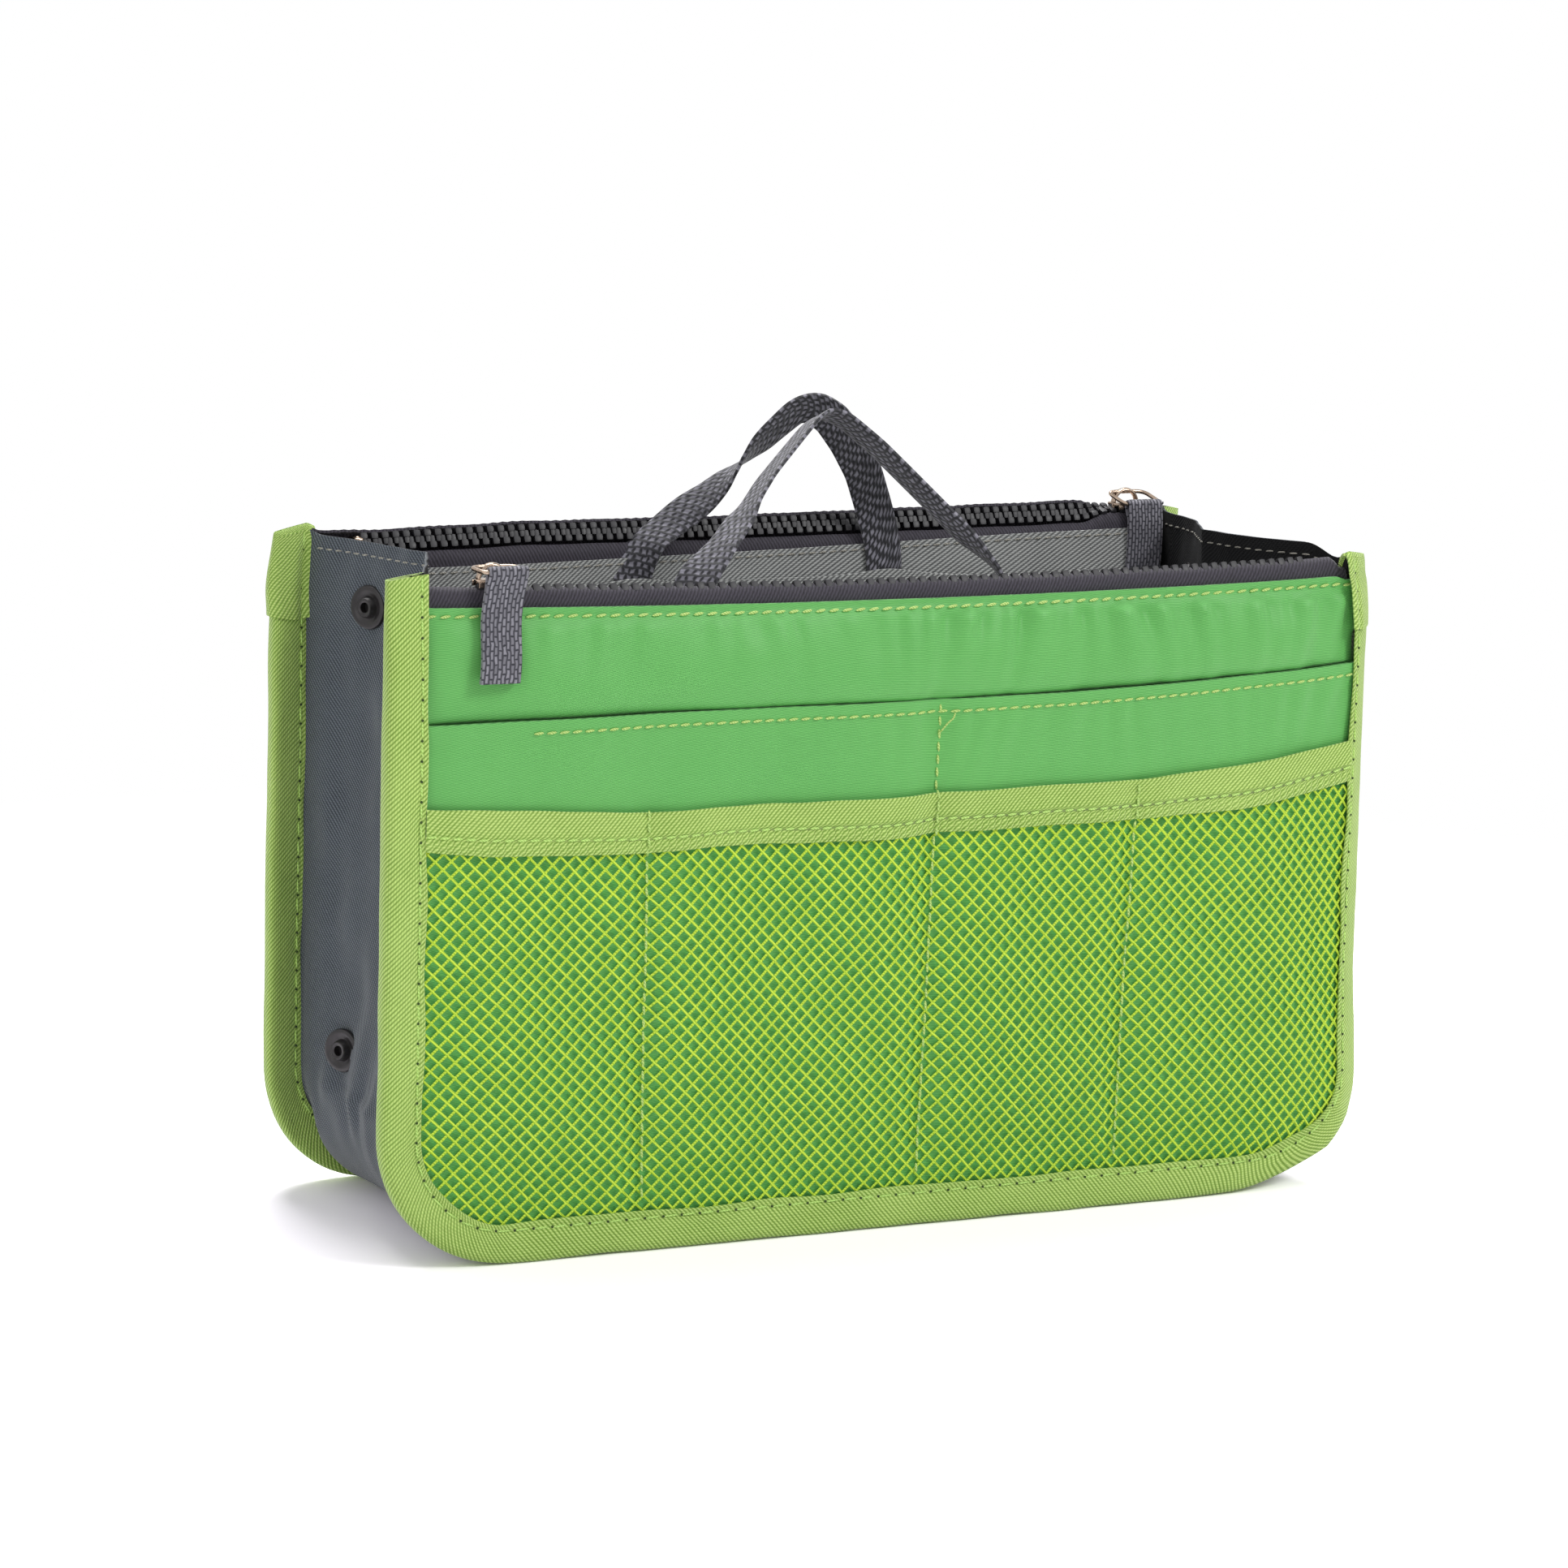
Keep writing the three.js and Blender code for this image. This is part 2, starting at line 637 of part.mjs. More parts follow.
// A point of the gusset: the seam at the binding, pulled inwards along the middle of each side and let
// down to the table along the bottom.
function gussetPoint(station, y) {
  const level = bindingInnerDepth - 2 * clearance;
  const towardsMiddle = Math.max(1 - Math.abs(y) / level, 0);
  const height = (station.point.z - cornerRadius) / (bagHeight - cornerRadius);
  const fold = foldDepth * Math.max(height, 0) * towardsMiddle;
  const flatShare = Math.min(Math.max((level - Math.abs(y)) / (level - bottomSpan / 2), 0), 1);
  const sag = (seamInset - cloth / 2) * smooth(station.turned) * flatShare;
  return pouchPoint(station, seamInset + fold - sag, -y);
}

const snapPlaces = ["left", "right"].flatMap((side) => {
  return [
    { name: `${side}_upper`, right: side === "right", z: upperSnapHeight },
    { name: `${side}_lower`, right: side === "right", z: lowerSnapHeight },
  ];
});

// Where a snap sits on the gusset, and the gusset's outward direction there.
function snapFrame(place, y) {
  const at = (z, depth) => {
    const x = place.right ? half : -half;
    const inward = new THREE.Vector3(place.right ? -1 : 1, 0, 0);
    return gussetPoint({ point: new THREE.Vector3(x, 0, z), inward, turned: 0 }, depth);
  };
  const upwards = at(place.z + 1, y).sub(at(place.z, y));
  const backwards = at(place.z, y + 1).sub(at(place.z, y));
  const outward = upwards.cross(backwards).normalize();
  if (outward.x > 0 !== place.right) outward.negate();
  const turn = new THREE.Quaternion().setFromUnitVectors(new THREE.Vector3(0, 1, 0), outward);
  return { centre: at(place.z, y), turn };
}

function gussetGeometry() {
  const rim = gussetRimDepth;
  const level = bindingInnerDepth - 2 * clearance;
  const middleRows = [-level, -bottomSpan / 2, -snapOffset, 0, snapOffset, bottomSpan / 2, level];
  const rows = edgeStations(bagHeight, gussetSideSteps, gussetBottomSteps).map((station) => [
    pouchPoint(station, seamTuck + cloth, rim),
    pouchPoint(station, seamInset, rim),
    ...middleRows.map((y) => gussetPoint(station, y)),
    pouchPoint(station, seamInset, -rim),
    pouchPoint(station, seamTuck + cloth, -rim),
  ]);
  const holeWidth = snapBarrelRadius + snapHoleGap;
  const punchLength = 6 * cloth;
  let body = solid(sheet(rows, cloth));
  for (const place of snapPlaces) {
    for (const y of [-snapOffset, snapOffset]) {
      const hole = new THREE.CylinderGeometry(holeWidth, holeWidth, punchLength, snapSides);
      const frame = snapFrame(place, y);
      hole.applyQuaternion(frame.turn).translate(frame.centre.x, frame.centre.y, frame.centre.z);
      body = body.subtract(solid(hole));
    }
  }
  return geometryFrom(body);
}

// Both snap halves start as a cap behind the cloth and a barrel through it.
const snapFace = cloth / 2 + clearance;
const snapBack = [
  [0, -snapFace - snapDisc],
  [snapCapRadius, -snapFace - snapDisc],
  [snapCapRadius, -snapFace],
  [snapBarrelRadius, -snapFace],
  [snapBarrelRadius, snapFace],
  [snapRadius, snapFace],
];
const snapRing = snapFace + snapDisc;
const studProfile = [
  ...snapBack,
  [snapRadius, snapRing],
  [studRadius + snapDome, snapRing + snapDome],
  [studRadius, snapRing + snapDome],
  [studRadius, snapFace + studHeight],
  [studBore, snapFace + studHeight],
  [studBore, snapRing],
  [0, snapRing],
];
const socketProfile = [
  ...snapBack,
  [snapRadius, snapRing + snapDome],
  [snapRadius - snapDome, snapFace + socketRim],
  [socketMouth + snapDome, snapFace + socketRim],
  [socketMouth, snapRing],
  [0, snapRing],
];

function snapPieces(kind, y, profile) {
  return snapPlaces.map((place) => {
    const outline = profile.map(([radius, height]) => new THREE.Vector2(radius, height));
    const mesh = named(`${place.name}_${kind}`, new THREE.LatheGeometry(outline, snapSides), snapMetal);
    const frame = snapFrame(place, y);
    mesh.position.copy(frame.centre);
    mesh.quaternion.copy(frame.turn);
    return mesh;
  });
}

const bag = new THREE.Group();
const frontPouch = new THREE.Group();
const frontPulls = pullPieces("front", frontRingReach, frontRingDrop, 0, frontPullEnd + frontMouthSink);
frontPouch.add(
  ...pouchPieces("front", frontPanelSink, frontMouthSink),
  mouthPieces("front", frontMouthSink, frontPulls),
  ...handlePieces("front", frontHandleHalfSpan, frontHandleHeight, frontHandleLean, -handleShift),
);

// The rear pouch is a second one of the same, turned to face backwards.
const rearPouch = new THREE.Group();
rearPouch.rotation.z = Math.PI;
rearPouch.add(
  ...pouchPieces("rear", 0, 0),
  mouthPieces("rear", 0, pullPieces("rear", rearRingReach, rearRingDrop, rearPullInset, rearPullEnd)),
  ...handlePieces("rear", rearHandleHalfSpan, rearHandleHeight, rearHandleLean, handleShift),
);
bag.add(frontPouch, rearPouch, named("gusset", gussetGeometry(), greyTwill));
bag.add(...snapPieces("stud", snapOffset, studProfile), ...snapPieces("socket", -snapOffset, socketProfile));

export default bag;
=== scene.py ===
import math

import bpy
import numpy as np
from mathutils import Matrix, Vector


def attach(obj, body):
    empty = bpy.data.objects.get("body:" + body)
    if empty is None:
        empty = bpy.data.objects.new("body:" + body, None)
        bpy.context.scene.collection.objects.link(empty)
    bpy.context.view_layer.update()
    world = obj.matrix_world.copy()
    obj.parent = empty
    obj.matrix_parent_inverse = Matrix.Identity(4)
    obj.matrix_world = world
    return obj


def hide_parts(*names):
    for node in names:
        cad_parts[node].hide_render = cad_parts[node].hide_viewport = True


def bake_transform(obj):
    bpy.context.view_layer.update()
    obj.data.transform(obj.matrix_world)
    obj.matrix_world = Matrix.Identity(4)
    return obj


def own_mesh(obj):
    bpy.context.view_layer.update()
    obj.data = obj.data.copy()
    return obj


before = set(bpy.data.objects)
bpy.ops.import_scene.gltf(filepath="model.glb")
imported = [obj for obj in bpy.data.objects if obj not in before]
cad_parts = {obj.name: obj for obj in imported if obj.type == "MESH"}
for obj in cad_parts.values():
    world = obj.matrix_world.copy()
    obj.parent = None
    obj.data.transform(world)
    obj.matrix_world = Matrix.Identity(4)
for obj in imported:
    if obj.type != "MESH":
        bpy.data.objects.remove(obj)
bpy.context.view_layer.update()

# The camera stands in front of the bag's left end, a little above its rim, as the photograph's did.
# The longest side of the picture is 1932 pixels, and the lens is 105.95 mm on a 36 mm sensor.
scene = bpy.context.scene
yaw = 0.42784
pitch = 0.17984
roll = 0.028754
forward = Vector((math.sin(yaw) * math.cos(pitch), math.cos(yaw) * math.cos(pitch), -math.sin(pitch)))
level = Vector((math.cos(yaw), -math.sin(yaw), 0))
upright = level.cross(forward)
right = math.cos(roll) * level + math.sin(roll) * upright
upward = -math.sin(roll) * level + math.cos(roll) * upright
camera = bpy.data.objects.new("camera", bpy.data.cameras.new("camera"))
camera.data.lens = 105.95
camera.data.sensor_width = 36
camera.data.clip_start = 0.05
turned = Matrix((right, upward, -forward)).transposed().to_4x4()
camera.matrix_world = Matrix.Translation((-0.52514, -1.12649, 0.33846)) @ turned
scene.collection.objects.link(camera)
scene.camera = camera

# Studio: a white table and a white room, soft lamps at the front right and above the back, and a weak one
# at the left. The camera and the metal see the table and the room whiter than they light the bag, and the
# table with less green, because the bag casts its own green on it.
scene.view_settings.view_transform = "Standard"
white = (1, 1, 1, 1)
table_light = (0.8, 0.8, 0.8, 1)
table_seen = (1.5, 1.45, 1.54, 1)
table_fades = (0.26, 0.62)
table_half = 30
table_level = -0.0002


def add(tree, kind, inputs=None, output=0, **settings):
    """Adds a node with its settings. Its inputs, by name or number, are values or the sockets that feed
    them. Gives back one of its outputs, or the node itself where the output is None."""
    node = tree.nodes.new(kind)
    for name, value in settings.items():
        setattr(node, name, value)
    for socket, value in (inputs or {}).items():
        if isinstance(value, bpy.types.NodeSocket):
            tree.links.new(value, node.inputs[socket])
        else:
            node.inputs[socket].default_value = value
    return node if output is None else node.outputs[output]


def blank(owner):
    """The emptied node tree of a material or a room."""
    owner.use_nodes = True
    owner.node_tree.nodes.clear()
    return owner.node_tree


def put(name, data):
    """A new object in the scene."""
    piece = bpy.data.objects.new(name, data)
    scene.collection.objects.link(piece)
    return piece


def compute(tree, operation, *values, **settings):
    """One sum on values or sockets."""
    return add(tree, "ShaderNodeMath", dict(enumerate(values)), operation=operation, **settings)


def between(tree, share, first, second):
    """A mix of two colours or sockets."""
    return add(tree, "ShaderNodeMix", {0: share, "A": first, "B": second}, "Result", data_type="RGBA")


def seen_plainly(tree):
    """1 for the camera and for reflections in metal or through glass, else 0."""
    path = add(tree, "ShaderNodeLightPath", output=None).outputs
    plain = compute(tree, "MAXIMUM", path["Is Camera Ray"], path["Is Glossy Ray"])
    return compute(tree, "MAXIMUM", plain, path["Is Transmission Ray"])


room = bpy.data.worlds.new("white_room")
tree = blank(room)
glow = add(tree, "ShaderNodeBackground", {"Color": white, "Strength": 0.55})
wall = add(tree, "ShaderNodeBackground", {"Color": white, "Strength": 1})
either = add(tree, "ShaderNodeMixShader", {0: seen_plainly(tree), 1: glow, 2: wall})
add(tree, "ShaderNodeOutputWorld", {"Surface": either}, None)
scene.world = room

table_paint = bpy.data.materials.new("white_table")
tree = blank(table_paint)
tone = between(tree, seen_plainly(tree), table_light, table_seen)
matt = add(tree, "ShaderNodeBsdfDiffuse", {"Color": tone})
spot = add(tree, "ShaderNodeTexCoord", output="Object")
away = add(tree, "ShaderNodeVectorMath", {0: spot}, "Value", operation="LENGTH")
fade = {"Value": away, "From Min": table_fades[0], "From Max": table_fades[1]}
far = add(tree, "ShaderNodeMapRange", fade, interpolation_type="SMOOTHSTEP")
far_white = compute(tree, "MULTIPLY", far, seen_plainly(tree))
lit = add(tree, "ShaderNodeEmission", {"Color": white, "Strength": 1})
surface = add(tree, "ShaderNodeMixShader", {0: far_white, 1: matt, 2: lit})
add(tree, "ShaderNodeOutputMaterial", {"Surface": surface}, None)
table_mesh = bpy.data.meshes.new("table")
corners = [(x * table_half, y * table_half, table_level) for x, y in ((-1, -1), (1, -1), (1, 1), (-1, 1))]
table_mesh.from_pydata(corners, [], [(0, 1, 2, 3)])
table_mesh.materials.append(table_paint)
table = put("table", table_mesh)

for lamp_name, place, watts, size in (
    ("front_lamp", (1.1, -1.55, 1.7), 23, 0.7),
    ("side_lamp", (-2.0, -0.9, 0.9), 6, 1.2),
    ("top_lamp", (0.1, 0.7, 1.6), 24, 0.8),
):
    lamp = put(lamp_name, bpy.data.lights.new(lamp_name, "AREA"))
    lamp.data.energy = watts
    lamp.data.size = size
    lamp.location = place
    lamp.rotation_euler = (Vector((0, 0, 0.09)) - lamp.location).to_track_quat("-Z", "Y").to_euler()

# Outer panels: one layer of green nylon on each face of the bag, folded over and top-stitched to the zip
# at the top, and sewn into the binding at the sides and bottom. A thin pad lies behind each. Lengths are in
# millimetres from here on: X along a pouch, depth outwards from the bag's middle, and Z up.
half = 142.9
corner = 35.0
cloth = 0.6
seam_in = 1.1
panel_depth = 45.1
panel_top = {"front": 170.2, "rear": 172.5}
band_per_metre = 0.314159
slip_edge = (
    [-142, -110, -88, -45, 11, 50, 89, 142],
    [142.1, 142.8, 143.2, 143.3, 143.4, 144.1, 145.5, 148.6],
)
middle_seam = 10.5
side_seams = (-71.5, 70)


def colour(values):
    """A colour as a picture writes it, from 0 to 255, in the shader's own linear values."""
    shares = [c / 255 for c in values]
    return (*[c / 12.92 if c < 0.04045 else ((c + 0.055) / 1.055) ** 2.4 for c in shares], 1)


def smooth(value):
    """A step from 0 to 1 with soft ends."""
    value = np.clip(value, 0, 1)
    return value * value * (3 - 2 * value)


def bump_at(value, middle, width):
    """1 at the middle, falling to 0 on both sides."""
    return np.exp(-(((value - middle) / width) ** 2))


def unit(vectors):
    """The same directions, each one long."""
    return vectors / np.maximum(np.linalg.norm(vectors, axis=-1, keepdims=True), 1e-9)


def run_of(points):
    """How far along a line each of its points lies."""
    return np.concatenate([[0], np.cumsum(np.linalg.norm(np.diff(points, axis=0), axis=1))])


def wander(a, b, seed, length):
    """Seeded unevenness from about -1 to 1, whose waves are about this long."""
    pick = np.random.default_rng(seed)
    total = 0
    for _ in range(7):
        way = pick.uniform(0, 2 * math.pi)
        size = length * pick.uniform(0.7, 1.8)
        start = pick.uniform(0, 2 * math.pi)
        total = total + np.sin(2 * math.pi * (a * math.cos(way) + b * math.sin(way)) / size + start)
    return total / 4


def inset_of(x, z):
    """How far a point of a pouch lies inside its outer edge."""
    beside = half - np.abs(x)
    rounded = corner - np.hypot(corner - beside, corner - z)
    return np.where((beside > corner) | (z > corner), np.minimum(beside, z), rounded)


def pouch_grid(inset, top, columns, step):
    """X and Z of a grid that fills a pouch's outline up to its top edge, whose height may vary along it."""
    low = inset + (corner - inset) * (1 - np.cos(np.linspace(0, math.pi / 2, 12)))
    share = np.concatenate([low[:-1], np.linspace(corner, 150, int((150 - corner) / step))])
    share = share if np.min(top) < 150 else np.concatenate([share, np.linspace(150, 172, 20)[1:]])
    bowed = (corner - inset) ** 2 - (corner - np.minimum(share, corner)) ** 2
    reach = half - corner + np.sqrt(np.maximum(bowed, 0))
    x = reach[:, None] * np.linspace(-1, 1, columns)
    above = np.clip((share - corner) / (share[-1] - corner), 0, 1)[:, None]
    height = np.interp(x[-1], *top) if isinstance(top, tuple) else top
    z = np.where(share[:, None] < corner, share[:, None], corner + above * (height - corner))
    return x, z + 0 * x


def slab(middle, thickness):
    """Cloth over a grid of points: its two faces, half the thickness to each side, closed along four edges.
    Its map, the third thing returned, gives the way along and across the cloth."""
    square = unit(np.cross(np.gradient(middle, axis=0), np.gradient(middle, axis=1)))
    offset = square * np.broadcast_to(np.asarray(thickness, float), middle.shape[:2])[..., None] / 2
    rows, columns = middle.shape[:2]
    points = np.concatenate([(middle + offset).reshape(-1, 3), (middle - offset).reshape(-1, 3)])
    top = np.arange(rows * columns).reshape(rows, columns)
    back = top + rows * columns
    faces = [
        np.stack([top[:-1, :-1], top[:-1, 1:], top[1:, 1:], top[1:, :-1]], -1),
        np.stack([back[:-1, :-1], back[1:, :-1], back[1:, 1:], back[:-1, 1:]], -1),
    ]
    rim = np.concatenate([top[0], top[1:, -1], top[-1, -2::-1], top[-2:0:-1, 0]])
    under = rim + rows * columns
    faces.append(np.stack([rim, under, np.roll(under, -1), np.roll(rim, -1)], -1))
    along = np.linalg.norm(np.diff(middle, axis=0, prepend=middle[:1]), axis=2).cumsum(0)
    across = np.linalg.norm(np.diff(middle, axis=1, prepend=middle[:, :1]), axis=2).cumsum(1)
    flat = np.stack([across, along], -1).reshape(-1, 2)
    return points, np.concatenate([f.reshape(-1, 4) for f in faces]).tolist(), np.concatenate([flat, flat])


def folded(past):
    """How far an end that is turned back by an edge has turned, past the line where it starts."""
    return np.maximum(past, 0) ** 2 / (np.maximum(past, 0) + 1.5)


def lean(points):
    """How the filled bag stands. The bindings' flat ends at the top are pressed together. The right ends of
    both pouches turn backwards, the front one is pulled out below its top, and the rear ones lean."""
    x, y, z = points.T
    out = np.abs(y)
    pressed = 0.5 * smooth((np.abs(x) - 127) / 7) * smooth((z - 150) / 28) * smooth((out - 38) / 3)
    out = out - (out - panel_depth) * pressed
    side = smooth((out - 18) / 22)
    front = np.where(y < 0, side, 0)
    rear = np.where(y > 0, side, 0)
    to_right = smooth((x - 70) / 62)
    to_left = smooth((-x - 70) / 62)
    edge = folded(x - 132.2)
    other = folded(-x - 132.2)
    back = np.radians(np.interp(z, [0, 60, 150, 180], [30, 38, 47, 40]))
    left_turn = 0.36
    low_pull = np.interp(z, [0, 4, 10, 18, 26, 60], [-0.8, -0.2, 0.9, 1.3, 1.35, 1.05])
    pulled = 6.2 * (0.72 + 0.28 * smooth((181 - z) / 24)) * low_pull
    curved = 3.5 * np.maximum((x - 85) / 58, 0) ** 2
    shift = front * (pulled * to_right + 0.35 * curved - edge * (1 - np.cos(back)))
    shift = shift - rear * (5.0 * smooth((z - 60) / 110) * to_right + edge * (1 - np.cos(back)))
    left_lean = (2.2 * smooth((195 - z) / 32) + 0.5 * smooth((140 - z) / 80)) * to_left
    shift = shift - rear * (left_lean - other * (1 - math.cos(left_turn)))
    turned = (front + rear) * edge * np.sin(back) - rear * other * math.sin(left_turn) + front * curved
    cut = smooth((z - 170) / 10) * smooth((np.abs(x) - 130) / 3) * smooth((out - 40) / 2)
    raised = cut * (0.16 * (half - np.abs(x)) - 0.6)
    raised = raised - 3.8 * front * smooth((x - 127.5) / 4) * smooth((z - 168) / 11)
    return np.stack([x + shift, np.sign(y) * out + turned, z + raised], -1)


def turn_of(side):
    return 1 if side == "front" else -1


def body_for(side):
    return "front_pouch" if side == "front" else "root"


def stand(side, x, depth, z):
    """From a pouch's own X, depth and height to the bag's: the rear pouch is the same one turned round."""
    x, depth, z = np.broadcast_arrays(x, depth, z)
    return np.stack([turn_of(side) * x, -turn_of(side) * depth, z], -1)


def settle(name, mesh, body, nodes):
    """A piece of this mesh: it rides on its body, in place of its CAD nodes."""
    piece = put(name, mesh)
    if body:
        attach(piece, body)
    if nodes:
        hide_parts(*nodes)
    return piece


def make(name, shape, material, body, nodes=(), crease=50):
    """A closed piece from a shape: points in millimetres, faces and perhaps a cloth map."""
    points, faces, cloth_map = shape
    mesh = bpy.data.meshes.new(name)
    mesh.from_pydata((lean(points) / 1000).tolist(), [], faces)
    mesh.validate()
    mesh.update()
    if sum(face.area * face.center.dot(face.normal) for face in mesh.polygons) < 0:
        mesh.flip_normals()
    if cloth_map is not None:
        ends = np.empty(len(mesh.loops), int)
        mesh.loops.foreach_get("vertex_index", ends)
        mesh.uv_layers.new(name="Cloth").data.foreach_set("uv", (cloth_map[ends] / 1000).ravel())
    mesh.shade_smooth()
    mesh.set_sharp_from_angle(angle=math.radians(crease))
    mesh.materials.append(material)
    return settle(name, mesh, body, nodes)


def lay(side, name, shape, material, node):
    """One piece of a pouch, in place of one CAD node."""
    return make(f"{side}_{name}", shape, material, body_for(side), [f"{side}_{node}"])


def skin_of(material, inputs):
    """Ends a material's tree with its shader."""
    skin = add(material.node_tree, "ShaderNodeBsdfPrincipled", inputs)
    add(material.node_tree, "ShaderNodeOutputMaterial", {"Surface": skin}, None)
    return material


def raise_by(tree, height, strength, distance):
    return add(tree, "ShaderNodeBump", {"Height": height, "Strength": strength, "Distance": distance})


def waves(tree, vector, spacing, direction, **inputs):
    """Bands this far apart on a vector in metres."""
    inputs = {"Vector": vector, "Scale": band_per_metre / spacing, **inputs}
    return add(tree, "ShaderNodeTexWave", inputs, "Fac", bands_direction=direction)


def noise(tree, vector, scale, detail, roughness=0.5):
    inputs = {"Vector": vector, "Scale": scale, "Detail": detail, "Roughness": roughness}
    return add(tree, "ShaderNodeTexNoise", inputs, "Fac")


def cloth_place(tree, turn=0):
    """The place on a piece's cloth map, in metres, turned by an angle."""
    place = add(tree, "ShaderNodeUVMap", uv_map="Cloth")
    turned = {"Vector": place, "Rotation": (0, 0, math.radians(turn))}
    return place, add(tree, "ShaderNodeMapping", turned)


def woven(
    name, tones, lines, threads, turn, height, rough,
    sheen=0.2, soil=0.16, grain=0.12, broken=0.5, back=None,
):
    """Cloth: raised lines this far apart, turned by an angle and broken by finer threads. A slow noise
    shades it, as dye and handling do, and a fine one gives its fibres. Its back can be darker."""
    material = bpy.data.materials.new(name)
    tree = blank(material)
    place, turned = cloth_place(tree, turn)
    uneven = {"Distortion": 1.0, "Detail": 1.5, "Detail Scale": 0.3}
    raised = waves(tree, turned, lines, "X", **uneven)
    crossed = waves(tree, place, threads, "Y", **uneven)
    cut = compute(tree, "MULTIPLY_ADD", crossed, broken, 1 - broken)
    weave = compute(tree, "MULTIPLY", cut, raised)
    spot = add(tree, "ShaderNodeTexCoord", output="Object")
    shade = compute(tree, "MULTIPLY_ADD", noise(tree, spot, 34, 4, 0.6), soil * 2, -soil)
    speckled = compute(tree, "MULTIPLY_ADD", noise(tree, spot, 1300, 2), grain * 2, shade)
    mixed = compute(tree, "ADD", weave, speckled, use_clamp=True)
    tint = between(tree, mixed, colour(tones[0]), colour(tones[1]))
    nap = sheen
    # A darker back: for the gusset, partly its darker inner cloth and partly painted shade for the bag's
    # inside.
    if back:
        behind = add(tree, "ShaderNodeAttribute", output="Fac", attribute_name="back_share")
        back_and_shade_tint = between(tree, mixed, colour([c * 0.75 for c in back]), colour([c * 1.2 for c in back]))
        tint = between(tree, behind, tint, back_and_shade_tint)
        nap = compute(tree, "MULTIPLY_ADD", behind, -0.95 * sheen, sheen)
    inputs = {"Base Color": tint, "Roughness": rough, "Sheen Weight": nap, "Sheen Roughness": 0.4}
    inputs["Specular IOR Level"] = 0.3
    inputs["Normal"] = raise_by(tree, weave, 0.8, height)
    return skin_of(material, inputs)


def mouth_droop(side, x, z):
    """The mouth of a filled pouch hangs a little between its ends."""
    if side == "front":
        return 1.5 * (x / 105) ** 2 * smooth((z - 145) / 25)
    heights = np.interp(x, [-118, -100, -65, 0, 22, 72, 117], [1.9, 1.8, 1.3, 0.3, 0, 0, -1.2])
    return heights * smooth((z - 145) / 25)


def at_seams(x, seams, width):
    """1 at each of these seams, falling to 0 beside them."""
    return sum(bump_at(x, seam, width) for seam in seams)


def face(x, z):
    """How far a pouch's face swells outwards, and is drawn in along the seams that divide its pockets."""
    inside = inset_of(x, z)
    swell = 1.9 * smooth((inside - 6) / 28) * smooth((170 - z) / 22)
    lip = np.interp(x, *slip_edge) + 0.1
    share = np.clip((z - lip) / (169 - lip), 0, 1)
    strip = 2.9 * (4 * share * (1 - share)) ** 0.55 * smooth((inside - 8) / 16)
    strip = strip * (1 - 0.35 * bump_at(np.abs(x), 113, 12))
    middle = 1.6 * bump_at(x, middle_seam, 5.5) * smooth((149 - z) / 8)
    sides = 1.3 * at_seams(x, side_seams, 5.5) * smooth((124 - z) / 8)
    slow = (0.7 * wander(x, z * 0.6, 3, 48) + 0.4 * wander(x, z * 0.7, 4, 24)) * smooth(inside / 25)
    return swell + strip + slow * smooth((166 - z) / 10) - (middle + sides) * smooth((z - 14) / 14)


def puckers(x, z, line, seed):
    """Short gathers that run down from a row of stitches, deepest right of the middle."""
    share = 0.3 + 0.7 * smooth((x + 12) / 30)
    below = line - z
    fan = x + 0.25 * below * np.sin(x / 17)
    waves = np.sin(fan / 1.25 + 2.2 * wander(x, 0, seed, 30))
    waves = waves + 1.2 * np.sin(fan / 2.3 + 2.5 * wander(x, 0, seed + 1, 44))
    return 1.1 * share * waves * np.exp(-np.maximum(below, 0) / 10) * smooth((below - 0.2) / 2.6)


nylon_tones = ((80, 157, 77), (121, 199, 108))
foam_tones = ((215, 215, 208), (240, 240, 235))
green_nylon = woven("green_nylon", nylon_tones, 0.00045, 0.0009, 90, 0.00003, 0.45, 0.3, 0.1, 0.03, 0.2)
white_foam = woven("white_padding", foam_tones, 0.0012, 0.0012, 45, 0.0002, 0.95)
for side in ("front", "rear"):
    x, z = pouch_grid(seam_in, panel_top[side], 210, 2.4)
    z = z + mouth_droop(side, x, z) * 0.8
    lip = np.interp(x, *slip_edge)
    near_lip = lip[-1] + np.array([-5, -1.2, -0.1, 0.2, 0.5, 0.9, 1.5, 2.6])[:, None]
    z = np.sort(np.concatenate([z, near_lip]), 0)
    x = np.concatenate([x, np.repeat(x[-1:], len(near_lip), 0)])
    lip = np.interp(x, *slip_edge)
    hem = panel_top[side] - 2.2
    depth = panel_depth + face(x, z) + puckers(x, z, hem - 0.3, 11)
    depth = depth + 1.1 * wander(x * 0.9, z * 0.45, 5, 22) * bump_at(z, 155, 9)
    depth = depth - 0.35 * bump_at(z, hem - 0.2, 0.9)
    behind_slip = smooth((lip + 0.5 - z) / 0.6) * smooth((z - lip + 8) / 7)
    depth = depth - 1.4 * behind_slip * smooth((inset_of(x, z) - 9) / 6)
    depth = np.where(z > 157, np.maximum(depth, 45.0), depth)
    thick = cloth + 0.7 * smooth((z - mouth_droop(side, x, z) - hem) / 0.9)
    shape = slab(stand(side, x, depth, z), thick)
    panel = lay(side, "panel_cloth", shape, green_nylon, "panel")
    x, z = pouch_grid(17.5, 156 if side == "front" else 160, 90, 4)
    inside = np.minimum(inset_of(x, z) - 17.5, 158 - z)
    crown = (0.5 + 1.5 * smooth(inside / 9)) * (1 - 0.7 * bump_at(z, np.interp(x, *slip_edge) - 1, 8))
    shape = slab(stand(side, x, 43.45, z), crown)
    pad = lay(side, "padding_foam", shape, white_foam, "padding")

# Slip pockets: a second layer of the same nylon, open along its folded and stitched top edge. The edge
# stands a little away from the panel, most at its left, and it is sewn down once right of the middle.
slip_depth = 46.0


